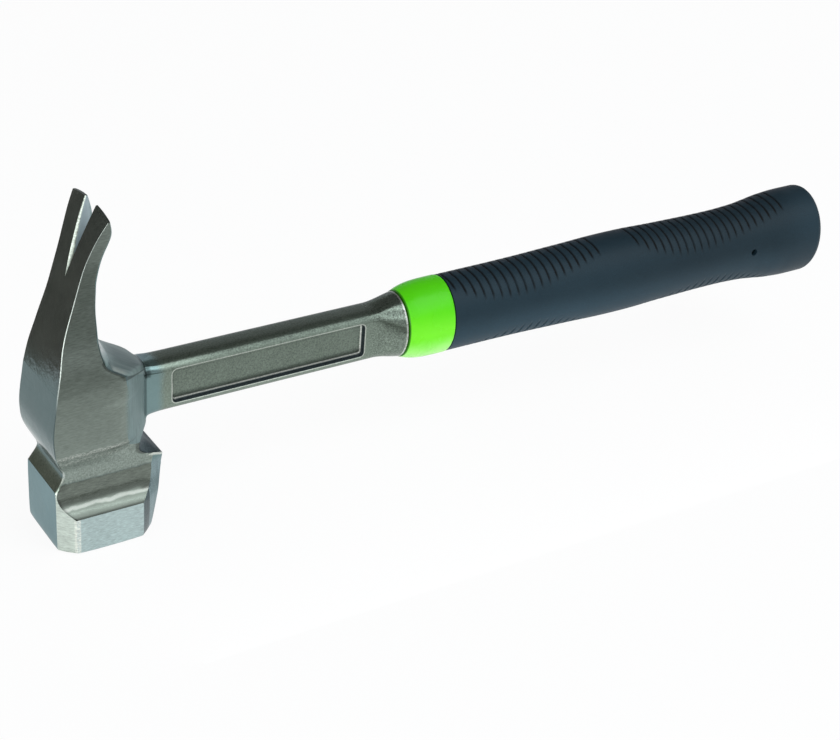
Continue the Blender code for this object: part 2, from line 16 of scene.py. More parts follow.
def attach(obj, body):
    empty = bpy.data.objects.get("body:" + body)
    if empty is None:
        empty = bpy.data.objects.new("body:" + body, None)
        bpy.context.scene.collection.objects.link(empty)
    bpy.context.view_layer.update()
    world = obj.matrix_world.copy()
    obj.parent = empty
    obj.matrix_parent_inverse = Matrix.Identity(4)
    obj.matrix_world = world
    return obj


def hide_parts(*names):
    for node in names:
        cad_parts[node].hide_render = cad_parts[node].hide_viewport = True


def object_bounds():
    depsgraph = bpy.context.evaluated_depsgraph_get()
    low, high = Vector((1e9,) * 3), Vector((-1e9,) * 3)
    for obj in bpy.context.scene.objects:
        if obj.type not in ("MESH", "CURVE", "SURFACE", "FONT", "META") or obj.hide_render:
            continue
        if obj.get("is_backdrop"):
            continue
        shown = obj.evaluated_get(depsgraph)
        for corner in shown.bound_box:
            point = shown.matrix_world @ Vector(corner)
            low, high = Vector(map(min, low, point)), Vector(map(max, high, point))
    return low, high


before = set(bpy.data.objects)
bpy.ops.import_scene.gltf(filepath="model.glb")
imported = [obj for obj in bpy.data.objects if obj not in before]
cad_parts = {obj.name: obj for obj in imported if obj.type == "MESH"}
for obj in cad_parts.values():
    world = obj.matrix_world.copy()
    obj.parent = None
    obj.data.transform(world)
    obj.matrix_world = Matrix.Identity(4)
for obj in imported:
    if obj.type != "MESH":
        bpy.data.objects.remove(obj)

MM = 0.001
CAD_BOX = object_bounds()
print("nodes:", ", ".join(sorted(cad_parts)))
print("box in mm:", [round((high - low) / MM, 1) for low, high in zip(*CAD_BOX)])

# %% [markdown]
# The camera comes first, because every other choice is judged through it. A product photograph is taken
# with a long lens from some way off, which keeps parallel edges nearly parallel. We could point the
# camera with a constraint, but a pan, a tilt and a small roll are easier to read and to change.

# %% Camera
SENSOR_WIDTH_MM = 36.0
LENS_MM = 82.26
CAMERA_PLACE = (-0.2362, -0.5618, 0.4255)
CAMERA_PAN = math.radians(34.21)
CAMERA_TILT = math.radians(30.24)
CAMERA_ROLL = math.radians(4.50)


def put(name, data):
    """A new object with this data, linked into the scene."""
    obj = bpy.data.objects.new(name, data)
    bpy.context.scene.collection.objects.link(obj)
    return obj


camera_data = bpy.data.cameras.new("photo_camera")
camera_data.sensor_fit = "HORIZONTAL"
camera_data.sensor_width = SENSOR_WIDTH_MM
camera_data.lens = LENS_MM
camera = put("photo_camera", camera_data)
camera.matrix_world = (
    Matrix.Translation(CAMERA_PLACE)
    @ Matrix.Rotation(-CAMERA_PAN, 4, "Z")
    @ Matrix.Rotation(math.pi / 2 - CAMERA_TILT, 4, "X")
    @ Matrix.Rotation(CAMERA_ROLL, 4, "Z")
)
bpy.context.scene.camera = camera
print("camera stands", round(math.dist(CAMERA_PLACE, (0, 0, 0)), 3), "m from the striking face")

# %% [markdown]
# A forging has no straight templates: its outlines are smooth lines through a few measured places. Three
# small helpers do that work. One goes a share of the way from one size to another, one runs a smooth line
# through knots without ever swinging past them, and one turns a line's sizes from millimetres to metres.

# %% Lines through measured places
def mix(a, b, share):
    return a + (b - a) * share


def smooth(knots, at):
    """A smooth curve through the knots, level at each peak, that never overshoots them."""
    xs = [x for x, _ in knots]
    ys = [y for _, y in knots]
    if at <= xs[0]:
        return ys[0]
    if at >= xs[-1]:
        return ys[-1]
    steps = [(ys[i + 1] - ys[i]) / (xs[i + 1] - xs[i]) for i in range(len(xs) - 1)]
    slopes = [steps[0]]
    for before, after in zip(steps, steps[1:]):
        slopes.append(2 * before * after / (before + after) if before * after > 0 else 0.0)
    slopes.append(steps[-1])
    i = max(k for k in range(len(xs) - 1) if xs[k] <= at)
    width = xs[i + 1] - xs[i]
    t = (at - xs[i]) / width
    return (
        ys[i] * (1 + 2 * t) * (1 - t) ** 2
        + ys[i + 1] * (3 - 2 * t) * t**2
        + width * t * (1 - t) * (slopes[i] * (1 - t) - slopes[i + 1] * t)
    )


def in_mm(line):
    return [(share, size * MM) for share, size in line]


print("half way along a rise of 1:", smooth(((0, 0), (1, 1)), 0.5))

# %% [markdown]
# Materials and Geometry Nodes are both networks of small sums, and wiring them by hand hides the maths.
# This class wraps one socket, so that a plain Python expression adds the Math nodes for us. Any other
# kind of node comes from its add method, which sets the node up before it wires it. A loop gives the
# class its operators, each with the reflected form that makes 1 - mask work as well as mask - 1.

# %% Sums written as Python
class Wire:
    """One socket of a node tree, with Python's operators for its maths."""

    def __init__(self, tree, socket=None):
        self.tree = tree
        self.socket = socket

    def add(self, kind, values=(), **settings):
        """A new node: its settings first, then the values or links of its sockets."""
        node = self.tree.nodes.new(kind)
        for name, value in settings.items():
            if name == "knots":
                set_knots(node.mapping, value)
            else:
                setattr(node, name, value)
        feed(node, dict(values))
        return Wire(self.tree, next(output for output in node.outputs if output.enabled))

    def out(self, name):
        return Wire(self.tree, self.socket.node.outputs[name])

    def math(self, operation, *others):
        return self.add("ShaderNodeMath", dict(enumerate((self, *others))), operation=operation)

    def turned(self, operation, first):
        """The same, with this value as the second one."""
        return self.add("ShaderNodeMath", {0: first, 1: self}, operation=operation)

    def least(self, other):
        return self.math("MINIMUM", other)

    def most(self, other):
        return self.math("MAXIMUM", other)

    def clamp(self):
        return self.add("ShaderNodeClamp", {"Value": self})

    def ramp(self, start, full):
        """Goes smoothly from 0 to 1 while this value goes up, or down, from start to full."""
        values = {"Value": self, "From Min": start, "From Max": full}
        return self.add("ShaderNodeMapRange", values, interpolation_type="SMOOTHSTEP")

    def blend(self, low, high):
        """A colour from low to high, with this value as the share."""
        return self.add("ShaderNodeMix", {0: self, 6: low, 7: high}, data_type="RGBA")

    def scaled(self, amount):
        """This colour or vector, times a value."""
        return self.add("ShaderNodeVectorMath", {0: self, "Scale": amount}, operation="SCALE")

    def axes(self):
        split = self.add("ShaderNodeSeparateXYZ", {"Vector": self})
        return [split.out(axis) for axis in "XYZ"]


OPERATORS = {"add": "ADD", "sub": "SUBTRACT", "mul": "MULTIPLY", "truediv": "DIVIDE", "pow": "POWER"}
for name, operation in OPERATORS.items():
    setattr(Wire, f"__{name}__", partialmethod(Wire.math, operation))
    setattr(Wire, f"__r{name}__", partialmethod(Wire.turned, operation))


def feed(node, values):
    """Sets a node's sockets: wires as links, and constants on the socket itself."""
    for key, value in values.items():
        if isinstance(value, Wire):
            value.tree.links.new(value.socket, node.inputs[key])
        else:
            node.inputs[key].default_value = value


def set_knots(mapping, knots):
    """Puts the points of a Float Curve where the knots are."""
    points = mapping.curves[0].points
    while len(points) < len(knots):
        points.new(0.5, 0.5)
    for point, knot in zip(points, knots):
        point.location = knot
        point.handle_type = "AUTO_CLAMPED"
    mapping.update()


print("operators ready:", ", ".join(OPERATORS))

# %% [markdown]
# The forging is the main piece. Drop forgings are drawn as a stack of sections, and so is this one: half
# an outline at each height, from the middle of the back round to the middle of the front. Sculpting would
# lose the measured sizes, and Booleans would leave hard seams where the steel flows. A coarse cage of
# sections with a Subdivision Surface keeps both the sizes and the flow. These are its driving sizes.

# %% Sizes of the forging
HALF_FACE = 19.0 * MM
CORNER_CHAMFER = 5.6 * MM
FACE_EDGE_BREAK = 0.5 * MM
FACE_RING = 1.6 * MM
SIDE_FLAT_HEIGHT = 15.5 * MM
BACK_FLAT_HEIGHT = 25.7 * MM
HEEL_HEIGHT = 30.3 * MM
HEEL_REACH = 24.7 * MM
HEEL_HALF_WIDTH = 11.5 * MM
NECK_BACK = 15.2 * MM
NECK_HALF_WIDTH = 12.5 * MM
CHEEK_BACK = 20.3 * MM
CHEEK_HALF_WIDTH = 16.5 * MM
CHEEK_FRONT = 9.3 * MM
HEAD_FRONT = 19.4 * MM
HEAD_EDGE = 0.3 * MM
AXIS_HEIGHT = 54.6 * MM
HALF_SHAFT = 10.7 * MM
HALF_THICK = 6.6 * MM
ROOT_FILLET = 1.2 * MM
ROOT_BOTTOM = AXIS_HEIGHT - HALF_SHAFT - ROOT_FILLET
ROOT_TOP = AXIS_HEIGHT + HALF_SHAFT + ROOT_FILLET
FACE_FLAT = HALF_FACE - CORNER_CHAMFER
print("shaft's root spans", [round(z / MM, 1) for z in (ROOT_BOTTOM, ROOT_TOP)], "mm above the face")

# %% [markdown]
# The cage lives in one bmesh. Each strip of faces between two sections also remembers how it is
# finished, one letter for each column: g is bright from the grinding wheel, c is a ground corner, which
# is paler still, b is brushed on a belt, r is a thin edge strip that gets a painted highlight, and
# painted shade beside the shaft, d is the panel's walls and the heel's leaf, painted dark as a dark
# reflection, n is the bare skin on the sides of the neck, k is the skin on the back of the head and
# claw, w is the wall of the slot, and s is smooth lacquered skin. Chosen edges get a crease, so the
# Subdivision Surface keeps them crisp, and some are marked for a line of painted shade or a painted
# highlight.

# %% The cage
# The r finish carries painted highlights, and the d finish, called scale, a painted dark reflection
FINISHES = {
    "g": "ground", "c": "corner", "b": "brushed", "r": "rubbed", "d": "scale",
    "n": "side_skin", "k": "back_skin", "w": "slot_wall",
}
# ridge chains carry lines of painted shade, and glint chains a painted highlight
EDGE_LINES = ("ridge", "glint")

cage = bmesh.new()
finish_layers = {letter: cage.faces.layers.float.new(name) for letter, name in FINISHES.items()}
crease_layer = cage.edges.layers.float.new("crease_edge")
ridge_layer, glint_layer = (cage.verts.layers.float.new(name) for name in EDGE_LINES)
print("finishes that a face can have:", ", ".join(FINISHES.values()))

# %% [markdown]
# A few helpers fill the cage. Rows of points are bridged with quads, and a chain of points can be creased
# or marked. Half a section of the head always has nine points, so that any two rows can be bridged. The
# names say which of those points the edges run along, counted from the middle of the back.

# %% Helpers that fill the cage
BACK_EDGE, SIDE_START, SIDE_END, FRONT_EDGE = 2, 3, 5, 6


def add_row(points):
    return [cage.verts.new(point) for point in points]


def add_face(corners, finish):
    face = cage.faces.new(corners)
    if finish in finish_layers:
        face[finish_layers[finish]] = 1.0


def bridge(lower, upper, finishes, columns=None):
    """Quads between two rows of vertices; columns names the steps along the row to fill."""
    for j in columns if columns is not None else range(len(lower) - 1):
        k = (j + 1) % len(lower)
        add_face((lower[j], upper[j], upper[k], lower[k]), finishes[j])


def sharpen(chain, crease=1.0):
    """Creases the edges that join a chain of vertices; 1 is fully sharp."""
    for a, b in zip(chain, chain[1:]):
        cage.edges.get((a, b))[crease_layer] = crease


def trace(chain, layer):
    """Marks a chain of vertices, so that the finish can draw a line along it."""
    for vert in chain:
        vert[layer] = 1.0


def column(rows, j):
    return [row[j] for row in rows]


def head_section(z, back, half_width, corner, front, front_half, back_chamfer=HEAD_EDGE):
    """Half of the head's outline at one height, from the middle of its back to that of its front."""
    return [
        (back, 0.0, z),
        (back, (half_width - back_chamfer) / 2, z),
        (back, half_width - back_chamfer, z),
        (back + back_chamfer, half_width, z),
        (mix(back + back_chamfer, corner, 0.5), half_width, z),
        (corner, half_width, z),
        (front, front_half, z),
        (front, front_half / 2, z),
        (front, 0.0, z),
    ]


print("a head section has", len(head_section(0, -1, 1, 0, 1, 1)), "points on each side")

# %% [markdown]
# The poll is the square block that strikes. Its sides and corners are ground bright, with a crisp edge
# on top, and above that a hollow runs up to the neck. Creases on the corner columns keep the ground
# chamfers flat, and a crease round the flat's top makes the hollow start at a clean line.

# %% Poll
CHAMFER_FADE = 2.5
SHOULDER_SHARES = (0.08, 0.18, 0.32, 0.5, 0.74, 1.0)


def heel_x(z):
    return mix(HALF_FACE, HEEL_REACH, z / HEEL_HEIGHT)


def poll_section(z, inset):
    size = HALF_FACE - inset
    return head_section(z, -size, size, FACE_FLAT, heel_x(z) - inset, FACE_FLAT, CORNER_CHAMFER)


def shoulder_section(share):
    """The hollow above the side flat, where the corner chamfer runs out to a thin edge."""
    z = mix(SIDE_FLAT_HEIGHT, BACK_FLAT_HEIGHT, share)
    left = CORNER_CHAMFER * (1 - share) ** CHAMFER_FADE
    half_width = FACE_FLAT + left
    corner = 2 * HALF_FACE - CORNER_CHAMFER - half_width
    front_half = mix(FACE_FLAT, HEEL_HALF_WIDTH, share)
    return head_section(z, -HALF_FACE, half_width, corner, heel_x(z), front_half, max(left, HEAD_EDGE))


poll = [add_row(poll_section(0.0, FACE_RING))]
for height, inset in ((0.0, FACE_EDGE_BREAK), (FACE_EDGE_BREAK, 0.0), (SIDE_FLAT_HEIGHT, 0.0)):
    poll.append(add_row(poll_section(height, inset)))
    bridge(poll[-2], poll[-1], "sscggsss")
cage.faces.new(poll[0])
flat_top = poll[-1]
for share in SHOULDER_SHARES:
    poll.append(add_row(shoulder_section(share)))
    bridge(poll[-2], poll[-1], "sscnnsss")
sharpen(flat_top[SIDE_START:FRONT_EDGE])
sharpen(poll[-1][:SIDE_START])
trace(column(poll[3:-1], SIDE_START), ridge_layer)
for j in (BACK_EDGE, SIDE_START, SIDE_END, FRONT_EDGE):
    sharpen(column(poll[1:], j))
print("poll rows:", len(poll))

# %% [markdown]
# Above the poll the steel is drawn in to a neck, with a pointed heel under the shaft, and swells again
# into the cheeks. Nothing was ground here, so the skin is as forged. The rows below name shares between
# the sizes of the neck, the cheeks and the heel, which is how a pattern maker would fair the lines. The
# heel's top is a dark facet, like a leaf, with a crisp outline: two corners move to meet that outline.

# %% Neck, heel and cheeks
def neck_height(share):
    return mix(HEEL_HEIGHT, ROOT_BOTTOM, share)


NECK_BACK_LINE = [(BACK_FLAT_HEIGHT, -HALF_FACE)] + [
    (neck_height(share), -mix(NECK_BACK, CHEEK_BACK, fullness))
    for share, fullness in ((0.16, 0.0), (0.36, 0.24), (0.78, 0.75), (1.0, 0.91), (1.4, 1.0))
]
# Share of the height, then shares from the neck's width to the cheek's, from the cheek's front to the
# head's, from the head's front to the heel's, and from the shaft's thickness to the heel's
NECK_ROWS = (
    (0.0, 0.04, 1.05, 1.0, 1.0),
    (0.18, 0.0, 0.8, 0.5, 0.7),
    (0.36, 0.14, 0.48, 0.1, 0.2),
    (0.56, 0.42, 0.4, 0.0, 0.0),
    (0.8, 0.76, 0.11, 0.0, 0.0),
    (1.0, 1.0, 0.0, ROOT_FILLET / (HEEL_REACH - HEAD_FRONT), 0.0),
)
CHEEK_FINISH = "kkrbbsss"
HEEL_LIFT = (0.6 * MM, 0.0, 1.9 * MM)
LEAF_TURN = 0.2
neck = [poll[-1]]
for share, width, corner, front, front_half in NECK_ROWS:
    z = neck_height(share)
    neck.append(add_row(head_section(
        z,
        smooth(NECK_BACK_LINE, z),
        mix(NECK_HALF_WIDTH, CHEEK_HALF_WIDTH, width),
        mix(CHEEK_FRONT, HEAD_FRONT, corner),
        mix(HEAD_FRONT, HEEL_REACH, front),
        mix(HALF_THICK, HEEL_HALF_WIDTH, front_half),
    )))
heel_rim, cheek_edge = neck[1], neck[5]
leaf_side = column(neck[1:5], SIDE_END)
heel_rim[SIDE_END].co += Vector(HEEL_LIFT)
leaf_side[-1].co = leaf_side[-1].co.lerp(neck[4][FRONT_EDGE].co, LEAF_TURN)
for lower, upper in zip(neck, neck[1:]):
    if lower is cheek_edge:
        bridge(lower, upper, CHEEK_FINISH)
    elif upper is cheek_edge:
        bridge(lower, upper, "ssrnnsdd", [j for j in range(len(lower) - 1) if j != SIDE_END])
        add_face((lower[SIDE_END], upper[SIDE_END], upper[FRONT_EDGE]), "s")
        add_face((lower[SIDE_END], upper[FRONT_EDGE], lower[FRONT_EDGE]), "d")
    else:
        bridge(lower, upper, "ssrnnsss" if upper is heel_rim else "ssrnnddd")
sharpen(heel_rim[SIDE_END:])
trace(heel_rim[SIDE_END:FRONT_EDGE + 1], glint_layer)
trace(leaf_side[1:], ridge_layer)
sharpen(leaf_side + [cheek_edge[FRONT_EDGE]])
sharpen(cheek_edge[BACK_EDGE:FRONT_EDGE], 0.15)
for j in (SIDE_END, FRONT_EDGE):
    sharpen(column(neck[:2], j), 0.8)
for j in (BACK_EDGE, SIDE_START):
    sharpen(column(neck, j), 0.7)
print("neck rows:", len(neck) - 1, "up to", round(ROOT_BOTTOM / MM, 1), "mm")

# %% [markdown]
# The claw rises from the cheeks, thins towards its tip and is split to pull nails. Three lines govern it:
# its back, its front and the chamfer on its front edge, which opens into a saddle over the shaft. They
# are read as a share of the height from the shaft's root to the tip.

# %% Lines of the claw
CLAW_TIP_HEIGHT = 131.8 * MM
CLAW_TIP_HALF_WIDTH = 15.2 * MM
CLAW_WAIST_HALF_WIDTH = 11.2 * MM
CLAW_BACK_LINE = in_mm((
    (0, -18.3), (0.12, -16.7), (0.3, -14.0), (0.5, -9.7), (0.75, -4.6), (0.92, -0.2), (1, 2.5)))
CLAW_FRONT_LINE = [(0.0, HEAD_FRONT + ROOT_FILLET / 2)] + in_mm((
    (0.06, 14.3), (0.12, 8.3), (0.19, 3.7), (0.3, -0.1), (0.45, -0.9), (0.6, -0.4), (0.77, 1.9),
    (0.92, 4.8), (1, 3.5)))
CLAW_CHAMFER_LINE = [(0.0, HEAD_FRONT - CHEEK_FRONT)] + in_mm((
    (0.045, 7.4), (0.075, 7.3), (0.1, 7.7), (0.14, 6.0), (0.19, 3.8), (0.3, 1.0), (0.4, 0.4), (1, 0.3)))
SADDLE_ARCH_CHAMFER = 3.0 * MM
SADDLE_START_SHARE, SADDLE_FREE_SHARE = 0.06, 0.12
CLAW_WIDTH_LINE = [
    (share, mix(CLAW_WAIST_HALF_WIDTH, CHEEK_HALF_WIDTH, fullness))
    for share, fullness in ((0.0, 0.9), (0.12, 0.75), (0.3, 0.24), (0.5, 0.02), (0.7, 0.0))
] + [
    (share, mix(CLAW_WAIST_HALF_WIDTH, CLAW_TIP_HALF_WIDTH, fullness))
    for share, fullness in ((0.83, 0.3), (0.92, 0.65), (1.0, 1.0))
]
print("claw rises to", round(CLAW_TIP_HEIGHT / MM, 1), "mm above the face")

# %% [markdown]
# A section of the claw reads those lines at its height. Low down, the chamfer cuts its front edge back
# and its front is arched, and so the saddle becomes hollow.

# %% Sections of the claw
def claw_share(z):
    return (z - ROOT_TOP) / (CLAW_TIP_HEIGHT - ROOT_TOP)


def claw_half_width(z):
    beside_shaft = (z - ROOT_BOTTOM) / (ROOT_TOP - ROOT_BOTTOM)
    if beside_shaft < 1:
        return mix(CHEEK_HALF_WIDTH, CLAW_WIDTH_LINE[0][1], beside_shaft)
    return smooth(CLAW_WIDTH_LINE, claw_share(z))


def claw_section(z):
    share = claw_share(z)
    front, chamfer = smooth(CLAW_FRONT_LINE, share), smooth(CLAW_CHAMFER_LINE, share)
    back, half_width = smooth(CLAW_BACK_LINE, share), claw_half_width(z)
    edge = mix(HEAD_EDGE, HEAD_EDGE / 3, max(share, 0))
    shaft_share = (CHEEK_HALF_WIDTH - HALF_THICK) / (HEAD_FRONT - CHEEK_FRONT)
    front_half = half_width - chamfer * mix(shaft_share, 1.0, min(share / SADDLE_FREE_SHARE, 1.0))
    ring = head_section(z, back, half_width, front - chamfer, front, front_half, edge)
    arch = chamfer * min(share / SADDLE_START_SHARE, 1.0) * min(chamfer / SADDLE_ARCH_CHAMFER, 1.0)
    for j in (FRONT_EDGE, FRONT_EDGE + 1):
        x, y, _ = ring[j]
        ring[j] = (x - arch * (y / half_width) ** 2, y, z)
    return ring


print("claw's waist is", round(2 * claw_half_width(0.1) / MM, 1), "mm wide at 100 mm up")

# %% [markdown]
# Beside the shaft, the head's front is left open: the shaft grows out of that outline later. Above it the
# saddle's rows crowd together where the steel curves most, so that the surface has points where it turns.

# %% Cheeks beside the shaft, and the saddle
SLOT_LENGTH = 25.5 * MM
SLOT_ROOT_HEIGHT = CLAW_TIP_HEIGHT - SLOT_LENGTH
SADDLE_LEVELS = 16
ROOT_SHARES = (-0.78, -0.6, -0.42, -0.24, 0.0, 0.24, 0.42, 0.6, 0.78)
ROOT_CORNER_DROP = (0.0, -0.4 * MM, -2.2 * MM)
SADDLE_EDGE_LIFT = 2.8 * MM
SADDLE_EDGE_REACH = 8.0 * MM
SADDLE_CROWDING = 1.5
SADDLE_LINE_ROWS = 7
CHEEK_BACK_LINE = (
    (ROOT_BOTTOM, -mix(NECK_BACK, CHEEK_BACK, 0.91)),
    (AXIS_HEIGHT - HALF_SHAFT / 2, -CHEEK_BACK),
    (ROOT_TOP, CLAW_BACK_LINE[0][1]),
)
cheeks = [neck[-1]]
for share in ROOT_SHARES:
    z = AXIS_HEIGHT + HALF_SHAFT * share
    back = smooth(CHEEK_BACK_LINE, z)
    outline = head_section(z, back, claw_half_width(z), CHEEK_FRONT, HEAD_FRONT, HALF_THICK)
    cheeks.append(add_row(outline))
    bridge(cheeks[-2], cheeks[-1], CHEEK_FINISH, range(FRONT_EDGE))
claw = [add_row(claw_section(ROOT_TOP))]
claw[0][FRONT_EDGE].co += Vector(ROOT_CORNER_DROP)
bridge(cheeks[-1], claw[0], CHEEK_FINISH, range(FRONT_EDGE))
for level in range(1, SADDLE_LEVELS):
    share = level / (SADDLE_LEVELS - 1)
    claw.append(add_row(claw_section(mix(ROOT_TOP, SLOT_ROOT_HEIGHT, share**SADDLE_CROWDING))))
    bridge(claw[-2], claw[-1], CHEEK_FINISH)
for row in claw:
    z = row[SIDE_END].co.z
    left = max(0.0, 1 - (z - ROOT_TOP) / SADDLE_EDGE_REACH)
    row[SIDE_END].co = claw_section(z + SADDLE_EDGE_LIFT * left**2)[SIDE_END]
head_rows = [cheek_edge] + cheeks + claw
sharpen(column(head_rows, SIDE_END), 0.42)
sharpen(column(cheeks[:-2], SIDE_END), 0.25)
trace(column(claw[:SADDLE_LINE_ROWS], SIDE_END) + [claw[0][FRONT_EDGE]], ridge_layer)
sharpen(column([cheek_edge] + cheeks + claw[:1], FRONT_EDGE))
sharpen(column(claw, FRONT_EDGE), 0.4)
shaft_root = claw[0][:SIDE_END:-1] + column(cheeks[:0:-1], FRONT_EDGE) + cheeks[0][FRONT_EDGE:]
print("rows beside the shaft:", len(cheeks), "and up the claw:", len(claw))

# %% [markdown]
# The slot narrows to a point between two tines, and its mouth on the back is bevelled, so that the tines
# bite under a nail's head. Each tine ends in a chisel edge. A tine's section has one more point than the
# rest of the claw, on the slot's wall just below that bevel.

# %% Tines of the split claw
SLOT_HALF_GAP = 4.6 * MM
SLOT_BEVEL = 2.0 * MM
WALL_SHARE = 0.93
BEVEL_FADE, BEVEL_MOST = 0.8, 0.6
CLAW_TIP_CROWN = 1.9 * MM
CROWN_RISE, CROWN_FULLNESS = 4, 1.9
TINE_SHARES = (0.12, 0.3, 0.46, 0.6, 0.72, 0.82, 0.92, 1.0)
TIP_FACES = ((0, 8, 7, 1), (1, 7, 6, 2), (2, 6, 5, 4, 3), (0, 9, 8))


def tine_section(share):
    z = mix(SLOT_ROOT_HEIGHT, CLAW_TIP_HEIGHT, share)
    ring = claw_section(z)
    back, half_width = ring[0][0], ring[4][1]
    front, front_half = ring[8][0], ring[6][1]
    mouth = SLOT_HALF_GAP * share
    first = TINE_SHARES[0]
    wall = SLOT_HALF_GAP * WALL_SHARE * max(share - first, 0) / (1 - first)
    ring[0] = (back, mouth, z)
    ring[1] = (back, mix(mouth, ring[2][1], 0.5), z)
    ring[7] = (front, mix(wall, front_half, 0.5), z)
    ring[8] = (front, wall, z)
    bevel = SLOT_BEVEL * (1 - BEVEL_FADE * share)
    ring.append((mix(back, front, min(bevel / (front - back), BEVEL_MOST)), wall, z))
    crown = CLAW_TIP_CROWN * share**CROWN_RISE
    return [
        (x, y, h + crown * (1 - (max(y - mouth, 0) / (half_width - mouth)) ** CROWN_FULLNESS))
        for x, y, h in ring
    ]


tine = [add_row(tine_section(share)) for share in TINE_SHARES]
bridge(claw[-1], tine[0][:9], CHEEK_FINISH)
add_face((claw[-1][0], tine[0][9], tine[0][0]), "c")
for lower, upper in zip(tine, tine[1:]):
    bridge(lower, upper, CHEEK_FINISH + "wc", range(10))
for corners in TIP_FACES:
    add_face([tine[-1][corner] for corner in corners], "b")
sharpen(tine[-1] + tine[-1][:1])
for j in (0, 8, 9):
    sharpen(column(tine, j), 0.8)
for j in (0, 9):
    sharpen([claw[-1][0], tine[0][j]])
for j in (BACK_EDGE, SIDE_START):
    sharpen(column(head_rows + tine, j))
print("tine rows:", len(tine), "over a slot of", round(SLOT_LENGTH / MM, 1), "mm")

# %% [markdown]
# The shaft is a rounded bar with a shallow panel sunk in each side, which saves weight and stiffens it.
# Instead of cutting the panel out, its points are pushed in, and the points near a corner slide onto
# rings round that corner. The cage stays all quads, and the panel's wall has an edge at its top and foot.

# %% Outline of the shaft
SHAFT_ROUNDING = 3.2 * MM
PANEL_START = 31.0 * MM
PANEL_END = 114.0 * MM
PANEL_HALF_HEIGHT = 7.2 * MM
PANEL_DEPTH = 2.1 * MM
PANEL_CORNER = 2.0 * MM
PANEL_WALL_RUN = 0.5 * MM
PANEL_LAND = 0.6 * MM
PANEL_EDGE, PANEL_FOOT = 4, 5
CLOSE = 1e-9


def shaft_section(x):
    """Half of the shaft's outline at x, from the middle of its top."""
    from_root = (x - HEAD_FRONT) / (PANEL_START - HEAD_FRONT)
    half = HALF_SHAFT + ROOT_FILLET * max(0, 1 - from_root) ** 3
    turn = SHAFT_ROUNDING * (1 - math.sqrt(0.5))
    upper = [
        (0.0, half),
        (HALF_THICK - SHAFT_ROUNDING, half),
        (HALF_THICK - turn, half - turn),
        (HALF_THICK, half - SHAFT_ROUNDING),
        (HALF_THICK, PANEL_HALF_HEIGHT),
        (HALF_THICK, PANEL_HALF_HEIGHT - PANEL_WALL_RUN),
        (HALF_THICK, PANEL_HALF_HEIGHT - PANEL_CORNER),
    ]
    return upper + [(HALF_THICK, 0.0)] + [(y, -z) for y, z in reversed(upper)]


def panel_point(x, y, z):
    """Sinks a point of the shaft's side that lies in the panel, and rounds the panel's corners."""
    in_x = min(x - PANEL_START, PANEL_END - x)
    in_z = PANEL_HALF_HEIGHT - abs(z)
    near, far = min(in_x, in_z), max(in_x, in_z)
    if near < -CLOSE:
        return x, y, z
    if near > PANEL_WALL_RUN - CLOSE:
        y -= PANEL_DEPTH
    if far < PANEL_CORNER - CLOSE:
        turn = math.radians(45 + 22.5 * (in_x - in_z) / PANEL_WALL_RUN)
        radius = PANEL_CORNER - near
        along = PANEL_CORNER - radius * math.cos(turn)
        x = PANEL_START + along if x - PANEL_START < PANEL_END - x else PANEL_END - along
        z = math.copysign(PANEL_HALF_HEIGHT - PANEL_CORNER + radius * math.sin(turn), z)
    return x, y, z


print("panel is", round((PANEL_END - PANEL_START) / MM), "mm long, sunk by", round(PANEL_DEPTH / MM, 1))

# %% [markdown]
# At its end the bare shaft flares to an oval lip that the collar butts against, and a slimmer tang runs
# on inside the grip. The tang never shows, but it stays in the mesh, because it is the same steel. Both
# outlines get as many points as the shaft's, so that the rows can be bridged.

# %% Outlines of the flare and the tang
OVAL_WIDTH_SHARE = 0.81
COLLAR_START = 132.0 * MM
FIT_GAP = 0.3 * MM
RIM_X = COLLAR_START - FIT_GAP
RIM_LIP = 0.35 * MM
FLARE_LENGTH = 13.0 * MM
FLARE_HALF_HEIGHT = 13.9 * MM
FLARE_STEPS = 7
TANG_LENGTH = 203.0 * MM
TANG_HALF_HEIGHT = 8.5 * MM
TANG_HALF_THICK = 4.0 * MM
TANG_SQUARENESS = 5
FLARE_LATE_SHARE = 0.25


def oval_half(half_height, points):
    angles = [math.pi * j / (points - 1) for j in range(points)]
    return [(half_height * OVAL_WIDTH_SHARE * math.sin(a), half_height * math.cos(a)) for a in angles]


def flare_section(share):
    """From the shaft's outline to the oval rim that the collar meets."""
    start = shaft_section(RIM_X - FLARE_LENGTH)
    end = oval_half(FLARE_HALF_HEIGHT, len(start))
    ease = mix(share * share * (3 - 2 * share), share**3, FLARE_LATE_SHARE)
    return [(mix(a[0], b[0], ease), mix(a[1], b[1], ease)) for a, b in zip(start, end)]


def tang_half(points):
    """Half of a bar with rounded edges, with as many points as its neighbour."""
    outline = []
    for y, z in oval_half(1.0, points):
        y /= OVAL_WIDTH_SHARE
        stretch = (abs(y) ** TANG_SQUARENESS + abs(z) ** TANG_SQUARENESS) ** (-1 / TANG_SQUARENESS)
        outline.append((TANG_HALF_THICK * y * stretch, TANG_HALF_HEIGHT * z * stretch))
    return outline


print("flare ends", round(RIM_X / MM, 1), "mm along the handle")

# %% [markdown]
# Now the stations, each a place along the handle with its outline. They crowd at the panel's ends, where
# a wall and a corner have to fit, and along the flare, which bends most.

# %% Stations along the handle
ROOT_STEPS = (0.14, 0.34, 0.62)
PANEL_STEPS = (0.33, 0.67)

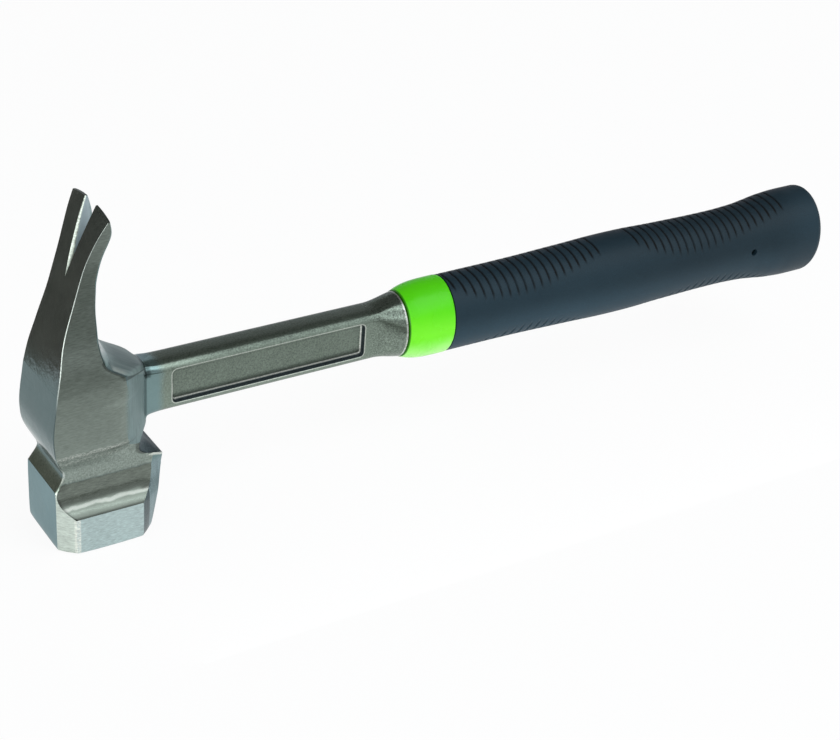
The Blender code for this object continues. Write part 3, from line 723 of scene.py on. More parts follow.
panel_places = (
    PANEL_START, PANEL_START + PANEL_WALL_RUN, PANEL_START + PANEL_CORNER,
    *(mix(PANEL_START, PANEL_END, share) for share in PANEL_STEPS),
    PANEL_END - PANEL_CORNER, PANEL_END - PANEL_WALL_RUN, PANEL_END,
)
root_places = [mix(HEAD_FRONT, PANEL_START, share) for share in ROOT_STEPS]
stations = [
    (x, shaft_section(x))
    for x in (*root_places, PANEL_START - PANEL_LAND, *panel_places, PANEL_END + PANEL_LAND)
]
for step in range(FLARE_STEPS + 1):
    share = step / FLARE_STEPS
    stations.append((mix(RIM_X - FLARE_LENGTH, RIM_X - RIM_LIP, share), flare_section(share)))
stations.append((RIM_X, oval_half(FLARE_HALF_HEIGHT - RIM_LIP, len(shaft_root))))
for x in (RIM_X, RIM_X + TANG_LENGTH):
    stations.append((x, tang_half(len(shaft_root))))
print("stations:", len(stations), "from", round(stations[0][0] / MM, 1), "mm on")

# %% [markdown]
# The rows start at the outline that the head left open, and each station adds one. The panel's edge and
# its foot get a soft crease, like the small radius of a forging die, and the lip and the tang a full one.

# %% Shaft, flare and tang
def opposite(j):
    """The point of the shaft's lower half that mirrors point j of the upper one."""
    return len(shaft_root) - 1 - j


def shaft_finish(stations, row):
    """Letters for one strip of the shaft: the panel's walls get d, painted dark as a dark reflection."""
    letters = ["s"] * len(shaft_root)
    before, after = stations[max(row - 1, 0)][0], stations[row][0]
    if PANEL_START <= before and after <= PANEL_END:
        at_end = after - before < PANEL_WALL_RUN + CLOSE
        last = opposite(PANEL_EDGE) - 1
        for j in range(PANEL_EDGE, last + 1) if at_end else (PANEL_EDGE, last):
            letters[j] = "d"
    return letters


shaft = [shaft_root]
for x, outline in stations:
    points = [panel_point(x, y, z) for y, z in outline]
    shaft.append(add_row([(px, py, AXIS_HEIGHT + pz) for px, py, pz in points]))
    bridge(shaft[-2], shaft[-1], shaft_finish(stations, len(shaft) - 2))
cage.faces.new(reversed(shaft[-1]))
first = 2 + len(root_places)
panel = shaft[first:first + len(panel_places)]
for rows, top, crease in ((panel, PANEL_EDGE, 0.45), (panel[1:-1], PANEL_FOOT, 0.3)):
    for end in (rows[0], rows[-1]):
        sharpen(end[top:opposite(top) + 1], crease)
    for j in (top, opposite(top)):
        sharpen(column(rows, j), crease)
for row in shaft[-4:]:
    sharpen(row)
print("shaft stations:", len(shaft), "cage faces on each side:", len(cage.faces))

# %% [markdown]
# Now the half cage becomes the whole forging. Mirror makes the far side, and Subdivision Surface fairs
# the steel between the creases. Edges that turn sharply are shaded sharp, and the rest run smooth.

# %% Forged body
SHARP_TURN = math.radians(28)
FAIRING_LEVELS = 2
ON_MIDDLE = 1e-7
MERGE_REACH = 1e-5


def plain_piece(name, maker):
    """The evaluated mesh of an object, as a plain object of its own; the maker is removed."""
    graph = bpy.context.evaluated_depsgraph_get()
    mesh = bpy.data.meshes.new_from_object(
        maker.evaluated_get(graph), preserve_all_data_layers=True, depsgraph=graph)
    mesh.name = name
    old = maker.data
    bpy.data.objects.remove(maker)
    bpy.data.meshes.remove(old)
    return put(name, mesh)


for vert in list(cage.verts):
    if not vert.link_faces:
        cage.verts.remove(vert)
    elif abs(vert.co.y) < ON_MIDDLE:
        vert.co.y = 0.0
cage_mesh = bpy.data.meshes.new("forging_cage")
cage.to_mesh(cage_mesh)
cage.free()
maker = put("forging_cage", cage_mesh)
mirror = maker.modifiers.new("far_side", "MIRROR")
mirror.use_axis = (False, True, False)
mirror.merge_threshold = MERGE_REACH
fairing = maker.modifiers.new("fairing", "SUBSURF")
fairing.levels = fairing.render_levels = FAIRING_LEVELS
forging = plain_piece("steel_forging", maker)
forging.data.shade_smooth()
forging.data.set_sharp_from_angle(angle=SHARP_TURN)
print("forging has", len(forging.data.polygons), "faces")

# %% [markdown]
# The grip is soft rubber moulded over a core. Its outline swells to fill the palm and flares at the butt,
# and two groups of fine grooves run part of the way round. That is a shape with a rule, so a Geometry
# Nodes tree makes it: a unit cylinder whose points are moved. The rings of its front cap turn inwards
# and become the space for the core, like a glove that is pushed inside out.

# %% Sizes of the grip
GROOVE_PITCH = 3.96 * MM
RINGS_PER_GROOVE = 16
RING_STEP = GROOVE_PITCH / RINGS_PER_GROOVE
GRIP_START = 152.7 * MM
GRIP_LENGTH = 195.0 * MM
BUTT_DOME = 1.5 * MM
BUTT_EDGE = 3.0 * MM
GRIP_SIDE = GRIP_LENGTH - BUTT_DOME - BUTT_EDGE
GRIP_STEPS = round(GRIP_SIDE / RING_STEP)
HALF_HEIGHT_SPAN = (15.0 * MM, 21.0 * MM)
FRONT_HALF, SWELL_HALF, WAIST_HALF, BUTT_HALF = (size * MM for size in (16.4, 18.0, 17.0, 20.1))
GRIP_LINE = (
    (0.0, FRONT_HALF), (0.16, mix(FRONT_HALF, SWELL_HALF, 0.12)),
    (0.3, mix(FRONT_HALF, SWELL_HALF, 0.55)), (0.45, SWELL_HALF),
    (0.57, mix(WAIST_HALF, SWELL_HALF, 0.4)), (0.71, WAIST_HALF),
    (0.78, mix(WAIST_HALF, BUTT_HALF, 0.12)), (0.835, mix(WAIST_HALF, BUTT_HALF, 0.45)),
    (0.89, mix(WAIST_HALF, BUTT_HALF, 0.86)), (0.94, BUTT_HALF), (1.0, BUTT_HALF),
)
print("grip is", GRIP_LENGTH / MM, "mm long and", round(2 * BUTT_HALF / MM, 1), "mm high at the butt")

# %% [markdown]
# Each size becomes a named input of the tree, so that the grip can be changed in Blender's own sidebar as
# well. A modifier keeps the values under the sockets' identifiers, not under their names.

# %% Inputs of the grip's tree
GRIP_INPUTS = {
    "Front": GRIP_START,
    "Axis Height": AXIS_HEIGHT,
    "Length": GRIP_LENGTH,
    "Side Length": GRIP_STEPS * RING_STEP,
    "Width Share": OVAL_WIDTH_SHARE,
    "Butt Edge": BUTT_EDGE,
    "Butt Dome": BUTT_DOME,
    "Wall": 3.6 * MM,
    "Cavity Length": GRIP_LENGTH - 4.5 * MM,
    "Groove Pitch": GROOVE_PITCH,
    "Groove Width": 1.2 * MM,
    "Groove Depth": 0.5 * MM,
    "Groove Slant": 2.2 * MM,
    "Front Group Start": 4 * RING_STEP,
    "Rear Group Start": 375 * RING_STEP,
    "Short Reach": math.radians(30),
    "Long Reach": math.radians(63),
    "Reach Fade": math.radians(12),
    "Hole Diameter": 3.0 * MM,
    "Hole From Front": GRIP_LENGTH - 39.7 * MM,
    "Hole Rise": 1.3 * MM,
}
GRIP_COUNTS = {
    "Rounds": 96, "Steps": GRIP_STEPS, "Cap Rings": 24, "Front Grooves": 19, "Rear Grooves": 21}


def add_inputs(tree, sizes, counts):
    """Named inputs of a tree, and the wires that carry them."""
    for names, kind in ((sizes, "NodeSocketFloat"), (counts, "NodeSocketInt")):
        for name in names:
            tree.interface.new_socket(name, in_out="INPUT", socket_type=kind)
    tree.interface.new_socket("Finish", in_out="INPUT", socket_type="NodeSocketMaterial")
    tree.interface.new_socket("Mesh", in_out="OUTPUT", socket_type="NodeSocketGeometry")
    given = tree.nodes.new("NodeGroupInput")
    return {socket.name: Wire(tree, socket) for socket in given.outputs if socket.name}


def run_tree(name, tree, values):
    """An object with the tree as its modifier, every input set, turned into a plain piece."""
    maker = put(name + "_maker", bpy.data.meshes.new(name + "_maker"))
    modifier = maker.modifiers.new(name, "NODES")
    modifier.node_group = tree
    for item in tree.interface.items_tree:
        if item.in_out == "INPUT":
            modifier[item.identifier] = values[item.name]
    return plain_piece(name, maker)


grip_tree = bpy.data.node_groups.new("grooved_grip", "GeometryNodeTree")
given = add_inputs(grip_tree, GRIP_INPUTS, GRIP_COUNTS)
print("the grip's tree has", len(given), "inputs and", GRIP_STEPS, "rings along its side")

# %% [markdown]
# First the bare form. Each point of the cylinder knows how far along it is and, on the caps, how far from
# the middle. From those we work out a distance along the handle and a half height, which a Float Curve
# reads from the measured outline. The butt's rounded edge is spread over the outer rings of the far cap.

# %% Form of the grip
BUTT_EDGE_RINGS = 0.25
FRONT_FACE_RINGS = 0.17
CAVITY_END_RINGS = 0.2
TINY = 1e-6
CAP_REACH = 1e-4

start = Wire(grip_tree)
tube = start.add(
    "GeometryNodeMeshCylinder",
    {"Vertices": given["Rounds"], "Side Segments": given["Steps"], "Fill Segments": given["Cap Rings"],
     "Radius": 1.0, "Depth": 1.0},
    fill_type="TRIANGLE_FAN",
)
across, up, along = start.add("GeometryNodeInputPosition").axes()
from_middle = (across * across + up * up) ** 0.5
along = along + 0.5
at_front, at_butt = along.math("LESS_THAN", CAP_REACH), along.math("GREATER_THAN", 1 - CAP_REACH)

turn = ((1 - from_middle) / BUTT_EDGE_RINGS).clamp() * (math.pi / 2)
on_dome = (from_middle / (1 - BUTT_EDGE_RINGS)).least(1.0)
butt_x = given["Butt Edge"] * turn.math("SINE") + given["Butt Dome"] * (1 - on_dome * on_dome)
inside = from_middle / (1 - FRONT_FACE_RINGS)
cavity_x = given["Cavity Length"] * ((1 - inside) / (1 - CAVITY_END_RINGS)).clamp()
form_x = along * given["Side Length"] + at_butt * butt_x + at_front * cavity_x

low, high = HALF_HEIGHT_SPAN
outline = start.add(
    "ShaderNodeFloatCurve",
    {"Value": form_x / given["Length"]},
    knots=[(place, (size - low) / (high - low)) for place, size in GRIP_LINE],
) * (high - low) + low
butt_half = (outline - given["Butt Edge"]) * on_dome + given["Butt Edge"] * turn.math("COSINE")
wall_share = ((1 - from_middle) / FRONT_FACE_RINGS).clamp()
cavity_half = (outline - given["Wall"] * wall_share) * (inside / CAVITY_END_RINGS).clamp()
on_side = 1 - at_front - at_butt
half_height = outline * on_side + butt_half * at_butt + cavity_half * at_front
print("nodes for the form:", len(grip_tree.nodes))

# %% [markdown]
# The grooves come next. For a point, the nearest groove of a group is a rounding of its distance over the
# pitch. How far round the grip that groove runs follows a sine along the group: long in the middle and
# short at the ends, earlier on top than below. Two attributes keep the share of the full depth, over the
# whole groove and near its ends alone, so that the finish can shade them. The points are sunk along the
# oval's own normal.

# %% Grooves of the grip
TOP_SKEW, BOTTOM_SKEW, BOTTOM_SHARE = 0.72, 1.1, 0.95
HALF_FADE, END_FADES = 0.5, 1.6
GROOVE_ATTRIBUTES = ("groove", "groove_end")

sine, cosine = across / from_middle.most(TINY), up / from_middle.most(TINY)
from_top = cosine.math("ARCCOSINE")
from_bottom = math.pi - from_top
slant = sine.math("ABSOLUTE") * given["Groove Slant"]


def reach(place, skew):
    """How far round the grip a groove runs; place is where it is in its group, from 0 to 1."""
    swell = (place ** skew * math.pi).math("SINE")
    return given["Short Reach"] + (given["Long Reach"] - given["Short Reach"]) * swell


def group_depth(first, count):
    """The share of the full depth at a point, for one group, and the same near its grooves' ends."""
    steps = (form_x - first - slant) / given["Groove Pitch"]
    nearest = steps.math("ROUND").most(0.0).least(count - 1)
    aside = (steps - nearest) * given["Groove Pitch"] * 2 / given["Groove Width"]
    place = nearest / (count - 1)
    over = reach(place, TOP_SKEW) - from_top
    under = reach(place, BOTTOM_SKEW) * BOTTOM_SHARE - from_bottom
    left = over.most(under) / given["Reach Fade"]
    across_groove = (1 - aside * aside).clamp() * (left + HALF_FADE).clamp()
    return across_groove, across_groove * (END_FADES - left).clamp()


front_sunk, front_ends = group_depth(given["Front Group Start"], given["Front Grooves"])
rear_sunk, rear_ends = group_depth(given["Rear Group Start"], given["Rear Grooves"])
sunk, ends = on_side * (front_sunk + rear_sunk), on_side * (front_ends + rear_ends)
depth = sunk * given["Groove Depth"]
normal_y = sine / given["Width Share"]
normal_length = (normal_y * normal_y + cosine * cosine) ** 0.5
y = sine * half_height * given["Width Share"] - depth * normal_y / normal_length
z = cosine * half_height - depth * cosine / normal_length
place = start.add(
    "ShaderNodeCombineXYZ", {"X": form_x + given["Front"], "Y": y, "Z": z + given["Axis Height"]})
kept = tube
for name, value in zip(GROOVE_ATTRIBUTES, (sunk, ends)):
    kept = start.add(
        "GeometryNodeStoreNamedAttribute",
        {"Geometry": kept, "Name": name, "Value": value},
        data_type="FLOAT", domain="POINT",
    )
formed = start.add("GeometryNodeSetPosition", {"Geometry": kept, "Position": place})
print("nodes with the grooves:", len(grip_tree.nodes))

# %% [markdown]
# Last, a small round hole goes through the side near the butt, cut with a Mesh Boolean, and the tree ends
# in Realize Instances and Set Material. The result is made a plain mesh straight away.

# %% Grip sleeve
HOLE_SIDES = 32
GRIP_SHARP_TURN = math.radians(62)

drill = start.add(
    "GeometryNodeMeshCylinder",
    {"Vertices": HOLE_SIDES, "Radius": given["Hole Diameter"] * 0.5, "Depth": given["Length"]},
)
drill_place = start.add("ShaderNodeCombineXYZ", {
    "X": given["Front"] + given["Hole From Front"],
    "Z": given["Axis Height"] + given["Hole Rise"]})
drill = start.add("GeometryNodeTransform", {
    "Geometry": drill, "Translation": drill_place, "Rotation": (math.pi / 2, 0.0, 0.0)})
drilled = start.add(
    "GeometryNodeMeshBoolean", {"Mesh 1": formed, "Mesh 2": drill}, operation="DIFFERENCE",
    solver="MANIFOLD")
real = start.add("GeometryNodeRealizeInstances", {"Geometry": drilled})
dressed = start.add("GeometryNodeSetMaterial", {"Geometry": real, "Material": given["Finish"]})
grip_tree.links.new(dressed.socket, grip_tree.nodes.new("NodeGroupOutput").inputs["Mesh"])

navy_rubber = bpy.data.materials.new("navy_rubber")
grip = run_tree("rubber_grip", grip_tree, {**GRIP_INPUTS, **GRIP_COUNTS, "Finish": navy_rubber})
grip.data.shade_smooth()
grip.data.set_sharp_from_angle(angle=GRIP_SHARP_TURN)
print("grip has", sum(len(face.vertices) - 2 for face in grip.data.polygons), "triangles")

# %% [markdown]
# A bright plastic collar hides the joint between the steel lip and the rubber. It is an oval ring that
# swells quickly from the lip and then runs level, with soft edges. A ring with one outline is simple
# enough for plain mesh code: a loop of ovals, the last joined to the first.

# %% Collar
COLLAR_LENGTH = 20.4 * MM
COLLAR_BACK_HALF = 16.6 * MM
COLLAR_FULLNESS = 4
COLLAR_EDGE = 0.8 * MM
COLLAR_BORE_HALF = 11.2 * MM
COLLAR_SIDES = 128
COLLAR_STEPS = 24
COLLAR_CROWDING = 1.3
COLLAR_SHARP_TURN = math.radians(40)


def collar_line():
    """Places along the collar and half heights, from its front edge over the outside to its back."""
    rise = COLLAR_BACK_HALF - FLARE_HALF_HEIGHT
    line = []
    for step in range(COLLAR_STEPS + 1):
        share = (step / COLLAR_STEPS) ** COLLAR_CROWDING
        x = mix(COLLAR_EDGE, COLLAR_LENGTH - COLLAR_EDGE, share)
        line.append((x, FLARE_HALF_HEIGHT + rise * (1 - (1 - x / COLLAR_LENGTH) ** COLLAR_FULLNESS)))
    edge = []
    for angle in (90, 67.5, 45, 22.5):
        a = math.radians(angle)
        edge.append((COLLAR_EDGE * (1 - math.sin(a)), COLLAR_EDGE * (1 - math.cos(a))))
    front = [(run, line[0][1] - fall) for run, fall in edge]
    back = [(COLLAR_LENGTH - run, line[-1][1] - fall) for run, fall in reversed(edge)]
    return front + line + back


def oval_ring(bm, x, half_height):
    ring = []
    for j in range(COLLAR_SIDES):
        a = 2 * math.pi * j / COLLAR_SIDES
        y, z = half_height * OVAL_WIDTH_SHARE * math.sin(a), AXIS_HEIGHT + half_height * math.cos(a)
        ring.append(bm.verts.new((x, y, z)))
    return ring


ring_mesh = bmesh.new()
profile = collar_line() + [(COLLAR_LENGTH, COLLAR_BORE_HALF), (0.0, COLLAR_BORE_HALF)]
rings = [oval_ring(ring_mesh, COLLAR_START + x, half) for x, half in profile]
for near, far in zip(rings, rings[1:] + rings[:1]):
    for j in range(COLLAR_SIDES):
        k = (j + 1) % COLLAR_SIDES
        ring_mesh.faces.new((near[j], far[j], far[k], near[k]))
bmesh.ops.recalc_face_normals(ring_mesh, faces=ring_mesh.faces)
collar = put("green_collar", bpy.data.meshes.new("green_collar"))
ring_mesh.to_mesh(collar.data)
ring_mesh.free()
collar.data.shade_smooth()
collar.data.set_sharp_from_angle(angle=COLLAR_SHARP_TURN)
print("collar has", len(collar.data.polygons), "faces in", len(rings), "rings")

# %% [markdown]
# Finishes come next, and they share a few helpers. One reads an attribute that a mesh carries, one makes
# a cloudy noise, which may be stretched into streaks, and one draws a thin line where a value passes a
# mark. Patterns are read from Object coordinates, so that they stay on the piece when the piece moves.

# %% Helpers for the finishes
def new_finish(material):
    """The shader of a material, and a wire with the Object coordinates of its piece."""
    material.use_nodes = True
    spot = Wire(material.node_tree).add("ShaderNodeTexCoord").out("Object")
    return material.node_tree.nodes["Principled BSDF"], spot


def places(spot):
    """Wires with a point's x, y and z in millimetres."""
    return spot.scaled(1 / MM).axes()


def attribute(spot, name):
    return spot.add("ShaderNodeAttribute", attribute_name=name).out("Fac")


def noise(spot, scale, detail=3.0, rough=0.55, stretch=None):
    """A cloudy value from 0 to 1; stretch gives unlike scales along the axes."""
    if stretch:
        spot = spot.add("ShaderNodeMapping", {"Vector": spot, "Scale": stretch})
    values = {"Vector": spot, "Scale": scale, "Detail": detail, "Roughness": rough}
    return spot.add("ShaderNodeTexNoise", values).out("Fac")


def swing(cloudy):
    """How far a noise is from its middle, below or above."""
    return cloudy - 0.5


def line(value, middle, half_width):
    """1 on a thin line where the value passes the middle, falling to 0 on both sides."""
    off_line = (value - middle) / half_width
    return (1 - off_line * off_line).clamp()


def relief(height, strength, distance):
    return height.add("ShaderNodeBump", {"Strength": strength, "Distance": distance, "Height": height})


forged_steel = bpy.data.materials.new("forged_steel")
surface, spot = new_finish(forged_steel)
print("a new finish starts with", len(forged_steel.node_tree.nodes), "nodes")

# %% [markdown]
# One bar of steel shows several finishes: the poll is ground bright, the cheeks and the sides of the claw
# are brushed on a belt, and the rest is forged skin under clear lacquer, smooth on the back and finely
# pebbled on the neck and the shaft. Separate materials would be simple, but they would leave no room for
# soft changes, so one material mixes them. We begin with the attributes that the cage carried, and with
# the grains: streaks across the blade, marks that run upright or downhill, pebbles, clouds and waves.

# %% Attributes and grains of the steel
SPECK_START, SPECK_CONTRAST = 0.42, 4

x, y, z = places(spot)
aside = y.math("ABSOLUTE")
ground, corner, brushed, rubbed, scale, side_skin, back_skin, slot_wall, ridge, glint = (
    attribute(spot, name) for name in (*FINISHES.values(), *EDGE_LINES))
wheel = ground + corner
streaks = noise(spot, 1.0, rough=0.7, stretch=(420.0, 420.0, 2200.0))
upright = noise(spot, 1.0, rough=0.7, stretch=(1400.0, 1400.0, 60.0))
downhill = noise(spot, 1.0, rough=0.6, stretch=(90.0, 1100.0, 90.0))
pebbles = noise(spot, 1500.0, detail=2.0, rough=0.6)
cloud = noise(spot, 55.0, rough=0.6)
waves = noise(spot, 160.0, detail=2.0)
ripples = noise(spot, 420.0, detail=2.0)
specks = ((pebbles - SPECK_START) * SPECK_CONTRAST).clamp()
print("attributes read:", ", ".join((*FINISHES.values(), *EDGE_LINES)))

# %% [markdown]
# Where the cage says too little, a mask comes from the place. A region has spans in millimetres: along
# the handle, aside of the middle, or up from the striking face. A span gives where the mask starts and
# where it is full, and then, if it ends again, where it starts to fade and where it is gone. Some borders
# wander with the waves, because the skin of a forging never ends at a ruled line.

# %% Steel: masks by place
SADDLE_SLOPE = 0.62
AXES = {"x": x, "aside": aside, "z": z}


def region(**spans):
    """1 where every span holds; the numbers of a span are in mm."""
    ramps = []
    for axis, span in spans.items():
        ramps.append(AXES[axis].ramp(*span[:2]))
        if len(span) > 2:
            ramps.append(AXES[axis].ramp(*span[:1:-1]))
    return math.prod(ramps[1:], start=ramps[0])


def waved(value, reach):
    return value + swing(waves) * reach


beside_shaft = region(z=(43, 46, 62, 66), aside=(9, 10))
fading = beside_shaft * region(x=(6, 7, 12, 13))
brushed = brushed * (1 - fading) + fading * region(x=(10.8, 7.4))
bare = (1 - wheel) * (1 - brushed) * (1 - scale)
front_skin = bare * (1 - side_skin)
poll_back = region(z=(26, 25.5), x=(-18.4, -18.9))
claw_back = back_skin * region(z=(66, 80))
shaft_skin = waved(x, 3).ramp(24.5, 28.5) * bare
shaft_neck = region(x=(19.4, 19.7), z=(40, 42)) * (1 - shaft_skin) * bare
over_edge = (z + x * SADDLE_SLOPE).ramp(74.7, 75.3)
saddle = region(x=(3, 5, 19, 21)) * over_edge * bare
above_hollow = waved(z, 1.2).ramp(27.9, 28.9)
neck_skin, hollow = side_skin * above_hollow, side_skin * (1 - above_hollow)
hollow_band = hollow * waved(z, 1.6).ramp(20.8, 21.6)
shoulder = region(z=(25.5, 26, 30.5, 31.5), x=(-12, -14)) * front_skin
poll_front = region(x=(13.5, 13.9), z=(31, 28)) * front_skin
strip = region(aside=(6.4, 6.8), x=(9, 9.6, 19.3, 19.5), z=(35, 37)) * (1 - over_edge) * front_skin
pebbled = shaft_skin + neck_skin + shoulder + scale
on_flare = region(x=(114, 122))
print("masks by place:", len(forged_steel.node_tree.nodes), "nodes so far")

# %% [markdown]
# Painted light and shade mark the steel's edges. The panel has the most of them: a painted highlight
# on its rim, painted shade on the wall below it, a painted highlight at the wall's foot, a painted
# shadow where the rim stands in the light's way, and painted shade low on its floor, which is a little
# darker as a whole. All of them come from one distance, how far a point lies inside the panel's rounded
# outline, so that they stay thin and follow the shape.

# %% Lines of the panel
panel_start, panel_end, panel_half, panel_corner, axis_height = (
    size / MM for size in (PANEL_START, PANEL_END, PANEL_HALF_HEIGHT, PANEL_CORNER, AXIS_HEIGHT))
panel_bottom = axis_height - panel_half
# how far along and down the painted shadow below the rim is shifted, in mm
RIM_HIDES = (0.9, 1.6)


def in_panel(x, z):
    """How far a point of the shaft's side lies inside the panel's rounded outline, in mm."""
    half_length = (panel_end - panel_start) / 2
    from_end = half_length - (x - (panel_start + half_length)).math("ABSOLUTE")
    from_edge = panel_half - (z - axis_height).math("ABSOLUTE")
    over_x, over_z = (panel_corner - from_end).most(0.0), (panel_corner - from_edge).most(0.0)
    return panel_corner - (over_x * over_x + over_z * over_z) ** 0.5


inside = in_panel(x, z)
behind_rim = in_panel(x - RIM_HIDES[0], z + RIM_HIDES[1])
past_wall = inside.ramp(0.5, 0.6)
low_or_end = region(z=(axis_height + 1, axis_height - 1)).most(region(x=(panel_end - 2, panel_end - 1)))
# painted highlights on the rim and at the wall's foot; painted shade on the wall, below the rim and low
panel_rim = line(inside, -0.22, 0.25)
panel_wall = line(inside, 0.3, 0.35) * low_or_end
panel_foot = line(inside, 0.85, 0.36) * low_or_end
panel_shade = line(behind_rim, 0.3, 0.35) * past_wall
panel_low = region(z=(panel_bottom + 3.6, panel_bottom + 1.6)) * past_wall
panel_floor = inside.ramp(0.6, 1.0) * region(aside=(5.5, 5))
print("panel runs from", panel_start, "to", panel_end, "mm along the handle")

# %% [markdown]
# The head has painted lines of its own. Painted highlights follow the ends of the poll's corners, the
# cheeks' lower edge, the flare's lip, the edges of the claw, the rim of the saddle, the heel's rim and a
# wavy line in the hollow. Painted shade lies where the shaft leaves the head, in a patch at the shaft's
# root, above the ground flat of the poll, on the poll's front, along the marked creases and on the
# head's back edge beside the shaft. The two attributes on the cage's edges give those lines that follow
# an edge which no distance describes.

# %% Lines on the edges
# painted highlight along the end of the poll's corner chamfer
painted_corner_glint = line(x, -12.9, 1.3) * region(aside=(17.9, 18.1), z=(15.6, 15.2))
# painted highlight along the cheeks' lower edge
painted_cheek_glint = (line(z, 41.4, 1.5) + line(z, 38.4, 1.6) * 0.5) * region(aside=(12.5, 13.5), x=(11, 5))
# painted highlight on the flare's lip
flare_lip = line(x, 131.1, 0.5)
# painted highlight on the edge strips of the claw and cheeks, and painted shade on them beside the shaft
claw_edge = rubbed * (0.08 + region(z=(58, 72)) * 0.37 + line(z, 34, 6) * 0.45)
cheek_edge_shade = rubbed * region(z=(40, 46, 60, 68))
# painted shade along the marked creases, and a painted highlight on the saddle's rim
saddle_line = (ridge - hollow * 0.05).ramp(0.86, 0.95) * (1 - wheel)
saddle_rim = ridge.ramp(0.45, 0.8) * (1 - saddle_line) * saddle * region(z=(69, 71))
# painted highlight along the heel's rim
heel_rim_line = glint.ramp(0.8, 0.95)
# painted shade in the crease where the shaft leaves the head, and a painted shade patch at its root
root_line = line(x, 20.0, 0.8) * region(z=(43, 46), aside=(8, 7))
painted_root_shade = line(x, 21.2, 1.5) * region(z=(60.5, 61.5, 65, 66))
# painted shade above the poll's ground flat, and a painted highlight line across the hollow
flat_line = hollow * (region(z=(16.3, 15.7)) + region(z=(17.6, 16.3)) * 0.2)
hollow_line = hollow * line(waved(z, 1.8), 19.0, 0.8)
# painted shade on the poll's front away from the heel
heel_face = region(x=(16.9, 17.3))
front_shade = poll_front * (1 - heel_face).most(line(z, 19.5, 4.5) * 0.6)

# bright gathers the painted highlights, and dark the painted shade and the darker panel floor
bright = (panel_rim * 0.5 + panel_foot + flare_lip * 0.7).clamp()
for rim in (
    (specks * 0.6 + 0.4) * (painted_corner_glint * 2.0).clamp(), specks * painted_cheek_glint * 0.6, claw_edge,
    saddle_rim * 0.35, hollow_line * 0.3, heel_rim_line * 0.8,
):
    bright = bright.most(rim)
dark = sum(share * strength for share, strength in (
    (cheek_edge_shade, 0.5), (panel_shade, 0.15), (panel_wall, 0.5), (panel_low, 0.45),
    (panel_floor, 0.12), (root_line, 0.55), (painted_root_shade, 0.6), (flat_line, 0.45),
    (front_shade, 0.42), (saddle_line, 0.5),
))
print("with the lines:", len(forged_steel.node_tree.nodes), "nodes")

# %% [markdown]
# The finishes are laid over each other like coats: lacquered skin first, then the places that differ,
# then what tools did, and last the painted highlights. Each coat has a colour, and most are rougher
# than the lacquer. The claw's darker back is partly a painted dark reflection, and the scale coat is a
# painted dark reflection on the panel's walls and the heel's leaf.

# %% Coats of the steel
LACQUERED = (0.162, 0.240, 0.240, 1.0)
LACQUER_ROUGHNESS = 0.17
# Each coat: its mask, its colour, and how much rougher it is than lacquer
COATS = (
    (poll_back, (0.111, 0.235, 0.258), 0.0),
    (shaft_skin, (0.197, 0.242, 0.203), 0.16),
    (neck_skin, (0.286, 0.336, 0.302), 0.28),
    (hollow, (0.163, 0.188, 0.163), 0.06),
    (shoulder, (0.215, 0.272, 0.232), 0.16),
    (poll_front, (0.154, 0.206, 0.216), 0.10),
    (slot_wall, (0.42, 0.50, 0.53), 0.35),
    # darker back of the claw: partly a painted dark reflection
    (claw_back, (0.145, 0.188, 0.190), 0.0),
    (saddle, (0.286, 0.366, 0.362), 0.32),
    (strip, (0.232, 0.306, 0.306), 0.40),
    (brushed, (0.226, 0.266, 0.237), 0.19),
    (ground, (0.45, 0.555, 0.55), 0.24),
    (corner, (0.57, 0.645, 0.585), 0.24),
    # painted dark reflection on the panel's walls and the heel's leaf
    (scale, (0.100, 0.128, 0.142), 0.41),
    # the painted highlights of the edges
    (bright, (0.80, 0.83, 0.77), 0.20),
)
skin, roughness = LACQUERED, LACQUER_ROUGHNESS
for share, colour, rougher in COATS:
    skin = share.blend(skin, (*colour, 1.0))
    roughness = roughness + share * rougher
print("coats over the lacquer:", len(COATS))

# %% [markdown]
# Over the coats lie the marks. Brushing and grinding leave streaks in colour, shine and relief, and the
# pebbled skin sparkles because its bumps tilt the light. A few places are lighter or darker as a whole:
# a painted reflection lights the shaft's sides round the panel and darkens the shaft's top edge, the
# shaft's neck has a lighter tone with a painted highlight along its top, painted light brightens the
# poll's front next to the heel, and the brushed sides grow darker from 60 mm up to 86 mm. The relief is a
# Bump node, because marks as fine as these would need millions of faces.

# %% Marks of the steel
FLARE_SHINE = 0.12
STREAK_SHINE = 0.12
RELIEF_STRENGTH, RELIEF_DEPTH = 0.25, 0.1 * MM

marks = (
    swing(streaks) * (brushed * 0.9 + (hollow_band + wheel) * 1.2)
    + swing(upright) * (strip * 0.6 + poll_front * 1.6 + claw_back * 0.5)
    + swing(downhill) * saddle * 0.7
    + swing(pebbles) * pebbled * (1.3 + on_flare * 0.8)
    + swing(cloud) * (0.3 + claw_back * 0.7)
    + (specks - 1) * corner * region(z=(95, 100)) * 0.35
)
# painted reflection: a lighter band on the shaft's sides round the panel
flange = shaft_skin * region(aside=(5.6, 6.4), x=(120, 112))
# painted reflection: a darker line along the rounding of the shaft's top
top_edge = shaft_skin * line(z, 63.9, 1.4) * region(aside=(4.4, 5.2), x=(34, 55))
# a lighter tone on the shaft's neck, with a painted highlight along its top
neck_light = shaft_neck * (0.15 + region(z=(64.5, 65.2)) * 0.5)
